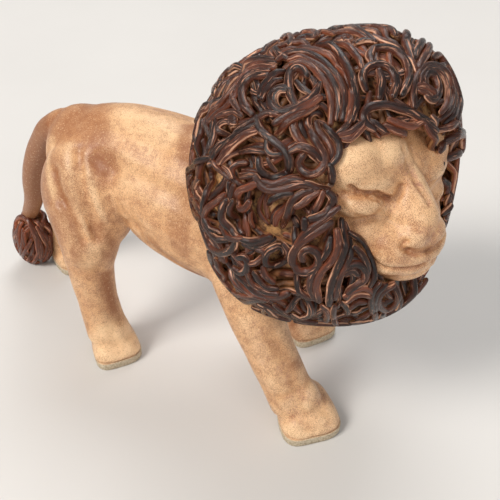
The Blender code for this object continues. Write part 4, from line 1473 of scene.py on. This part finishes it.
def tan_glaze():
    """Satin cream glaze under fine brown stipple, thick where it was airbrushed; painted shade darkens the
    hollows and the underside, and painted highlights brighten ridges and lit patches.
    """
    material, tree, shader = nodes_of("tan_glaze")
    place = figure_place(tree)
    cloud = noise(tree, place, 0.035, 3, 0.5)
    fine = noise(tree, place, 0.16, 5, 0.65)
    grain = noise(tree, place, 0.75, 3, 0.7)
    stretched = add(tree, "ShaderNodeVectorMath", [(0, place), (1, (1.0, 1.0, 0.6))], operation="MULTIPLY")
    stipple = noise(tree, stretched.outputs[0], 2.7, 3, 0.65)
    brown, cream, hollow = painted(tree, "brown"), painted(tree, "cream"), painted(tree, "hollow")
    colour = mix(tree, span(tree, cloud, 0.36, 0.66), rgb(230, 183, 136), rgb(214, 163, 116))
    colour = mix(tree, span(tree, fine, 0.45, 0.66, 0, 0.6), colour, rgb(198, 145, 104))
    # Airbrushed brown, with painted shade under the body, on the inner legs, in the hip dimple and the
    # hollow of the hock; darkest on the tail, partly painted shade there
    colour = mix(tree, span(tree, brown, 0, 1, 0, 0.85), colour, rgb(158, 102, 64))
    colour = mix(tree, span(tree, brown, 0.95, 1.3, 0, 0.9), colour, rgb(100, 60, 38))
    # Painted light: paler cream in the lit patches, with fewer spots there below
    colour = mix(tree, times(tree, cream, 0.7), colour, rgb(246, 208, 162))
    blush = span(tree, noise(tree, place, 0.5, 4, 0.75), 0.42, 0.64)
    pink = times(tree, painted(tree, "pink"), blush)
    colour = mix(tree, times(tree, pink, 0.75), colour, rgb(170, 112, 100))
    # Painted shade: darker brown in the hollows, where shade falls
    crease = times(tree, hollow, span(tree, grain, 0.3, 0.7, 0.2, 0.5))
    colour = mix(tree, crease, colour, rgb(150, 96, 58))
    # Painted highlight: paler cream on the ridges, less where the skin is browned
    colour = mix(tree, times(tree, painted(tree, "ridge"), 0.55), colour, rgb(244, 210, 168))
    thick = plus(tree, times(tree, brown, 0.07), times(tree, fine, 0.3))
    thick = minus(tree, thick, times(tree, cream, 0.05))
    # Painted shade: more stipple in the hollows
    thick = plus(tree, thick, times(tree, hollow, 0.06))
    spots = span(tree, plus(tree, stipple, thick), 0.6, 0.76, 0, 0.78)
    colour = mix(tree, spots, colour, rgb(142, 88, 54))
    colour = mix(tree, span(tree, grain, 0.44, 0.3, 0, 0.4), colour, rgb(246, 214, 172))
    bare = painted(tree, "bare")
    clay = mix(tree, span(tree, grain, 0.35, 0.7), rgb(206, 192, 166), rgb(160, 142, 116))
    colour = mix(tree, bare, colour, clay)
    tree.links.new(colour, shader.inputs["Base Color"])
    shine = span(tree, plus(tree, grain, bare), 0.3, 1.4, 0.38, 0.74)
    tree.links.new(shine, shader.inputs["Roughness"])
    shader.inputs["Specular IOR Level"].default_value = 0.4
    relief = plus(tree, grain, times(tree, stipple, -0.5))
    bump = add(tree, "ShaderNodeBump", [("Strength", 0.3), ("Distance", 0.0004), ("Height", relief)])
    tree.links.new(bump.outputs[0], shader.inputs["Normal"])
    return material


def core_glaze():
    """Bare tan clay with stains of the dark glaze, low between the coils."""
    material, tree, shader = nodes_of("core_glaze")
    place = figure_place(tree)
    cloud = noise(tree, place, 0.06, 3, 0.6)
    fine = noise(tree, place, 0.4, 5, 0.7)
    colour = mix(tree, span(tree, cloud, 0.38, 0.62), rgb(196, 150, 98), rgb(134, 90, 56))
    colour = mix(tree, span(tree, fine, 0.46, 0.62, 0, 0.85), colour, rgb(78, 46, 32))
    colour = mix(tree, span(tree, fine, 0.4, 0.3, 0, 0.5), colour, rgb(222, 180, 132))
    tree.links.new(colour, shader.inputs["Base Color"])
    tree.links.new(span(tree, fine, 0.3, 0.7, 0.45, 0.7), shader.inputs["Roughness"])
    bump = add(tree, "ShaderNodeBump", [("Strength", 0.5), ("Distance", 0.0005), ("Height", fine)])
    tree.links.new(bump.outputs[0], shader.inputs["Normal"])
    return material


def streaks(tree, along, around, strand):
    """Noise drawn out along a coil, different on each."""
    way = add(
        tree,
        "ShaderNodeCombineXYZ",
        [
            (0, times(tree, along, 0.04)),
            (1, times(tree, around, 0.9)),
            (2, times(tree, strand, 31.0)),
        ],
    ).outputs[0]
    return noise(tree, way, 2.2, 5, 0.7)


def coil_glaze(name, red):
    """Streaked glaze on coils: near black on top, red-brown on the flanks, cream where they meet, and more
    light streaks high up the mane as a painted highlight.
    """
    material, tree, shader = nodes_of(name)
    place = figure_place(tree)
    fine = noise(tree, place, 0.34, 4, 0.6)
    strand = painted(tree, "strand")
    depth = painted(tree, "depth")
    around = painted(tree, "round")
    along = painted(tree, "along")
    streak = streaks(tree, along, around, strand)
    sway = minus(tree, streak, 0.5)
    top = sums(tree, "COSINE", around)
    slow = plus(tree, times(tree, along, 0.03), times(tree, strand, 37.0))
    drift = add(
        tree, "ShaderNodeTexNoise", [("W", slow), ("Scale", 1.0), ("Detail", 2.0)], noise_dimensions="1D"
    ).outputs["Fac"]
    warm = plus(tree, times(tree, drift, 0.7), times(tree, strand, 0.45))
    warm = span(tree, plus(tree, warm, red), 0.42, 0.92)
    crown = mix(tree, warm, rgb(20, 13, 12), rgb(80, 42, 30))
    flank = mix(tree, warm, rgb(86, 44, 30), rgb(158, 88, 60))
    turned = plus(tree, top, times(tree, sway, 3.6))
    colour = mix(tree, span(tree, turned, 0.1, 1.05), flank, crown)
    colour = mix(tree, span(tree, streak, 0.44, 0.34, 0, 0.75), colour, rgb(26, 19, 19))
    # Light streaks of thin glaze, with more of them higher up the mane: painted highlight where light falls
    # from above
    height = add(tree, "ShaderNodeSeparateXYZ", [(0, place)]).outputs["Z"]
    thin = plus(tree, streak, span(tree, height, 180, 235, 0, 0.02))
    colour = mix(tree, span(tree, thin, 0.565, 0.66, 0, 0.75), colour, rgb(208, 148, 118))
    edge = sums(tree, "ABSOLUTE", minus(tree, around, painted(tree, "line")))
    edge = plus(tree, edge, times(tree, sway, 1.3))
    line = times(tree, span(tree, edge, 0.32, 0.1), span(tree, drift, 0.34, 0.46))
    colour = mix(tree, times(tree, line, 0.85), colour, rgb(230, 176, 142))
    foot = plus(tree, top, times(tree, sway, 2.0))
    colour = mix(tree, span(tree, foot, -0.2, -0.75, 0, 0.85), colour, rgb(180, 132, 88))
    low = plus(tree, depth, times(tree, fine, 2.4))
    low = minus(tree, low, times(tree, top, 0.9))
    colour = mix(tree, span(tree, low, 1.8, 3.6, 0, 0.7), colour, rgb(172, 120, 80))
    tree.links.new(colour, shader.inputs["Base Color"])
    tree.links.new(span(tree, streak, 0.3, 0.7, 0.2, 0.42), shader.inputs["Roughness"])
    shader.inputs["Specular IOR Level"].default_value = 0.36
    rough = plus(tree, streak, times(tree, fine, 0.6))
    bump = add(tree, "ShaderNodeBump", [("Strength", 0.6), ("Distance", 0.0005), ("Height", rough)])
    tree.links.new(bump.outputs[0], shader.inputs["Normal"])
    return material


def wear(thing, material):
    thing.data.materials.clear()
    thing.data.materials.append(material)
    pick(thing)
    bpy.ops.object.shade_smooth()


# Soft patches of airbrushed brown, and of painted shade under the belly and chest and on the inner thighs:
# centre, radii and strength, in figure millimetres
BROWN_AND_SHADE_PATCHES = [
    ((-66, 0, 176), (50, 60, 28), 0.75),
    ((-58, -46, 130), (44, 32, 56), 0.7),
    ((-62, 46, 132), (46, 30, 50), 0.7),
    ((46, -46, 140), (12, 30, 40), 0.5),
    ((46, 46, 140), (12, 30, 40), 0.5),
    ((-34, -18, 92), (20, 18, 34), 0.85),
    ((-58, 14, 92), (26, 18, 34), 0.85),
    ((-40, 0, 100), (40, 30, 24), 0.8),
    ((88, 0, 86), (40, 26, 30), 0.85),
    ((-84, 0, 150), (22, 20, 22), 0.8),
    ((-38, -52, 148), (14, 14, 12), 0.6),
]
# The tail's brown: airbrushed, and partly painted shade on its inner side
BROWN_TAIL = [(-84, 0, 152), (-94, 2, 141), (-109, 5, 121), (-121, 9, 99), (-130, 14, 78), TAIL_END]
TAIL_BROWN_AND_SHADE = 1.12
# Painted shade: how far the skin is browned where it faces down
UNDERSIDE_SHADE = 0.35

# Airbrushed brown, and painted shade in the hip dimple, the hollow of the hock, on the inner thigh and
# along the belly, where the photograph shows it: pixels, width in figure millimetres and strength
BROWN_AND_SHADE_PATCHES_SEEN = [
    ([(188, 112), (184, 136), (187, 160)], 6.5, 0.75),
    ([(62, 128), (80, 116), (96, 134), (101, 158)], 17, 0.65),
    ([(92, 158), (99, 163), (104, 170)], 6, 1.0),
    ([(96, 228), (106, 244), (112, 258)], 8, 0.6),
    ([(72, 226), (76, 246), (78, 262)], 7, 0.6),
    ([(106, 276), (111, 298), (119, 322)], 6, 0.9),
    ([(380, 242), (398, 256), (420, 262), (436, 240)], 10, 0.35),
    ([(150, 248), (172, 266), (196, 276)], 7, 0.6),
    ([(292, 322), (300, 344), (306, 368)], 6, 0.7),
]

# Painted light: patches where the cream ground is made paler, where light falls brightest: pixels, width in
# figure millimetres and strength
PAINTED_LIGHT_PATCHES_SEEN = [
    ([(352, 150), (372, 146), (388, 148)], 13, 0.9),
    ([(352, 172), (370, 176), (386, 181)], 7, 0.6),
    ([(404, 152), (414, 164), (424, 182), (432, 200)], 5, 0.6),
    ([(374, 228), (392, 228), (408, 216)], 8, 0.5),
    ([(384, 212), (392, 217)], 6, 0.7),
    ([(110, 332), (122, 334), (138, 342)], 15, 1.2),
    ([(96, 346), (112, 350), (128, 352)], 10, 1.0),
    ([(296, 408), (312, 410), (330, 416)], 11, 0.6),
    ([(284, 420), (296, 432), (316, 434)], 8, 0.5),
    ([(130, 118), (150, 124), (164, 134)], 16, 0.7),
    ([(128, 176), (150, 186), (172, 204)], 14, 0.35),
    ([(52, 140), (49, 156), (49, 176), (54, 196)], 4, 0.8),
    ([(84, 264), (92, 256), (102, 248)], 7, 0.4),
]

# Places with a pinkish blush: pixels, width in figure millimetres and strength
PINK_PATCHES_SEEN = [
    ([(403, 162), (409, 172), (415, 182), (421, 191), (428, 200)], 4.5, 1.0),
    ([(382, 199), (387, 203), (390, 206)], 4.5, 0.9),
    ([(425, 236), (433, 236), (438, 232)], 6, 0.8),
    ([(402, 262), (412, 258), (424, 258), (434, 254)], 5, 0.6),
    ([(402, 272), (412, 272), (420, 268)], 4, 0.7),
    ([(254, 326), (258, 342), (262, 356), (264, 366)], 5, 0.7),
    ([(280, 368), (285, 376)], 5, 0.7),
    ([(290, 400), (292, 410), (294, 420)], 6, 0.7),
    ([(304, 394), (318, 398), (332, 404)], 6, 0.8),
    ([(330, 426), (338, 424)], 5, 0.7),
    ([(96, 152), (104, 165), (108, 176)], 10, 0.5),
    ([(138, 344), (143, 348)], 5, 0.6),
]


def with_patches(share, patches, skin, places):
    """A share of glaze over a skin, with patches added where the camera sees their pixels."""
    for path, width, strength in patches:
        away = distance_to(seen_on(skin, path), places)
        share = np.maximum(share, strength * (1 - ease(away, 0.2 * width, 1.3 * width)))
    return share


def finish_skin(thing, steps):
    """Notes for the glaze: painted shade in the hollows and where the skin faces down, painted highlight on
    ridges and in lit patches, airbrushed brown, pinkish blush and bare clay.
    """
    places, outward = corners_of(thing), normals_of(thing)
    hollow = hollows(thing, steps)
    # The hollows' mask, for painted shade in the creases
    paint(thing, "hollow", ease(hollow, 0.3, 1.3))
    brown = np.zeros(len(places))
    for centre, radii, strength in BROWN_AND_SHADE_PATCHES:
        away = np.linalg.norm((places - np.array(centre)) / np.array(radii), axis=1)
        brown = np.maximum(brown, strength * (1 - ease(away, 0.45, 1.0)))
    # Painted shade: browner where the skin faces down
    brown = np.maximum(brown, UNDERSIDE_SHADE * ease(-outward[:, 2], 0.2, 0.9))
    # The tail browned all over: airbrush and painted shade together
    brown = np.maximum(brown, TAIL_BROWN_AND_SHADE * (1 - ease(distance_to(BROWN_TAIL, places), 15, 22)))
    paint(thing, "bare", 1 - ease(places[:, 2], SOLE_THICKNESS - 0.5, SOLE_THICKNESS + 0.3))
    skin = skin_of(thing)
    none = np.zeros(len(places))
    paint(thing, "pink", with_patches(none, PINK_PATCHES_SEEN, skin, places))
    # Painted light: the lit patches, where the cream ground is made paler
    paint(thing, "cream", with_patches(none, PAINTED_LIGHT_PATCHES_SEEN, skin, places))
    brown = with_patches(brown, BROWN_AND_SHADE_PATCHES_SEEN, skin, places)
    paint(thing, "brown", brown)
    # Painted highlight on the ridges
    paint(thing, "ridge", ease(-hollow, 0.12, 0.7) * (1 - 0.85 * np.clip(brown, 0, 1)))


# The stage, with the floor a little under the soles
FLOOR_LEVEL = -0.0002
LIT_POINT = Vector((0, 0, 0.1))


def make_stage():
    bpy.ops.mesh.primitive_plane_add(size=6, location=(0, 0, FLOOR_LEVEL))
    floor = bpy.context.object
    floor.name = "floor"
    material, tree, shader = nodes_of("pale_floor")
    place = add(tree, "ShaderNodeTexCoord").outputs["Object"]
    tone = noise(tree, place, 6, 3, 0.5)
    tree.links.new(mix(tree, tone, rgb(214, 211, 207), rgb(206, 203, 199)), shader.inputs["Base Color"])
    shader.inputs["Roughness"].default_value = 0.8
    floor.data.materials.append(material)


def light(name, place, size, power, colour):
    """A square lamp that shines on the lion."""
    bpy.ops.object.light_add(type="AREA", location=place)
    lamp = bpy.context.object
    lamp.name = name
    lamp.data.size = size
    lamp.data.energy = power
    lamp.data.color = colour
    lamp.rotation_euler = (LIT_POINT - Vector(place)).to_track_quat("-Z", "Y").to_euler()


def make_light():
    light("key", (-1.0, -2.0, 2.6), 1.2, 96, (1.0, 0.97, 0.93))
    light("fill", (2.4, -1.6, 1.5), 2.0, 22, (0.98, 0.98, 1.0))
    light("back", (-0.3, 1.6, 2.7), 1.6, 46, (0.98, 0.99, 1.0))
    world = bpy.data.worlds.new("studio")
    bpy.context.scene.world = world
    world.use_nodes = True
    background = world.node_tree.nodes["Background"]
    background.inputs["Color"].default_value = (1.0, 0.99, 0.98, 1)
    background.inputs["Strength"].default_value = 0.34
    bpy.context.scene.view_settings.view_transform = "Standard"


def main():
    make_stage()
    make_light()
    body_glaze = tan_glaze()
    trunk = make_trunk()
    face = make_face()
    soles = make_soles()
    for piece, steps in ((trunk, 16), (face, 24), (soles, 2)):
        finish_skin(piece, steps)
        wear(piece, body_glaze)
        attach(piece, "root")
        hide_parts("body")
    clay = core_glaze()
    mane_glaze, tuft_glaze = coil_glaze("mane_glaze", 0.0), coil_glaze("tuft_glaze", 0.3)
    mane, tuft = make_mane(trunk, face), make_tuft()
    for (cores, coils), node, glaze in ((mane, "mane", mane_glaze), (tuft, "tail_tuft", tuft_glaze)):
        for piece in cores + coils:
            wear(piece, clay if piece in cores else glaze)
            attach(piece, "root")
            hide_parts(node)


main()
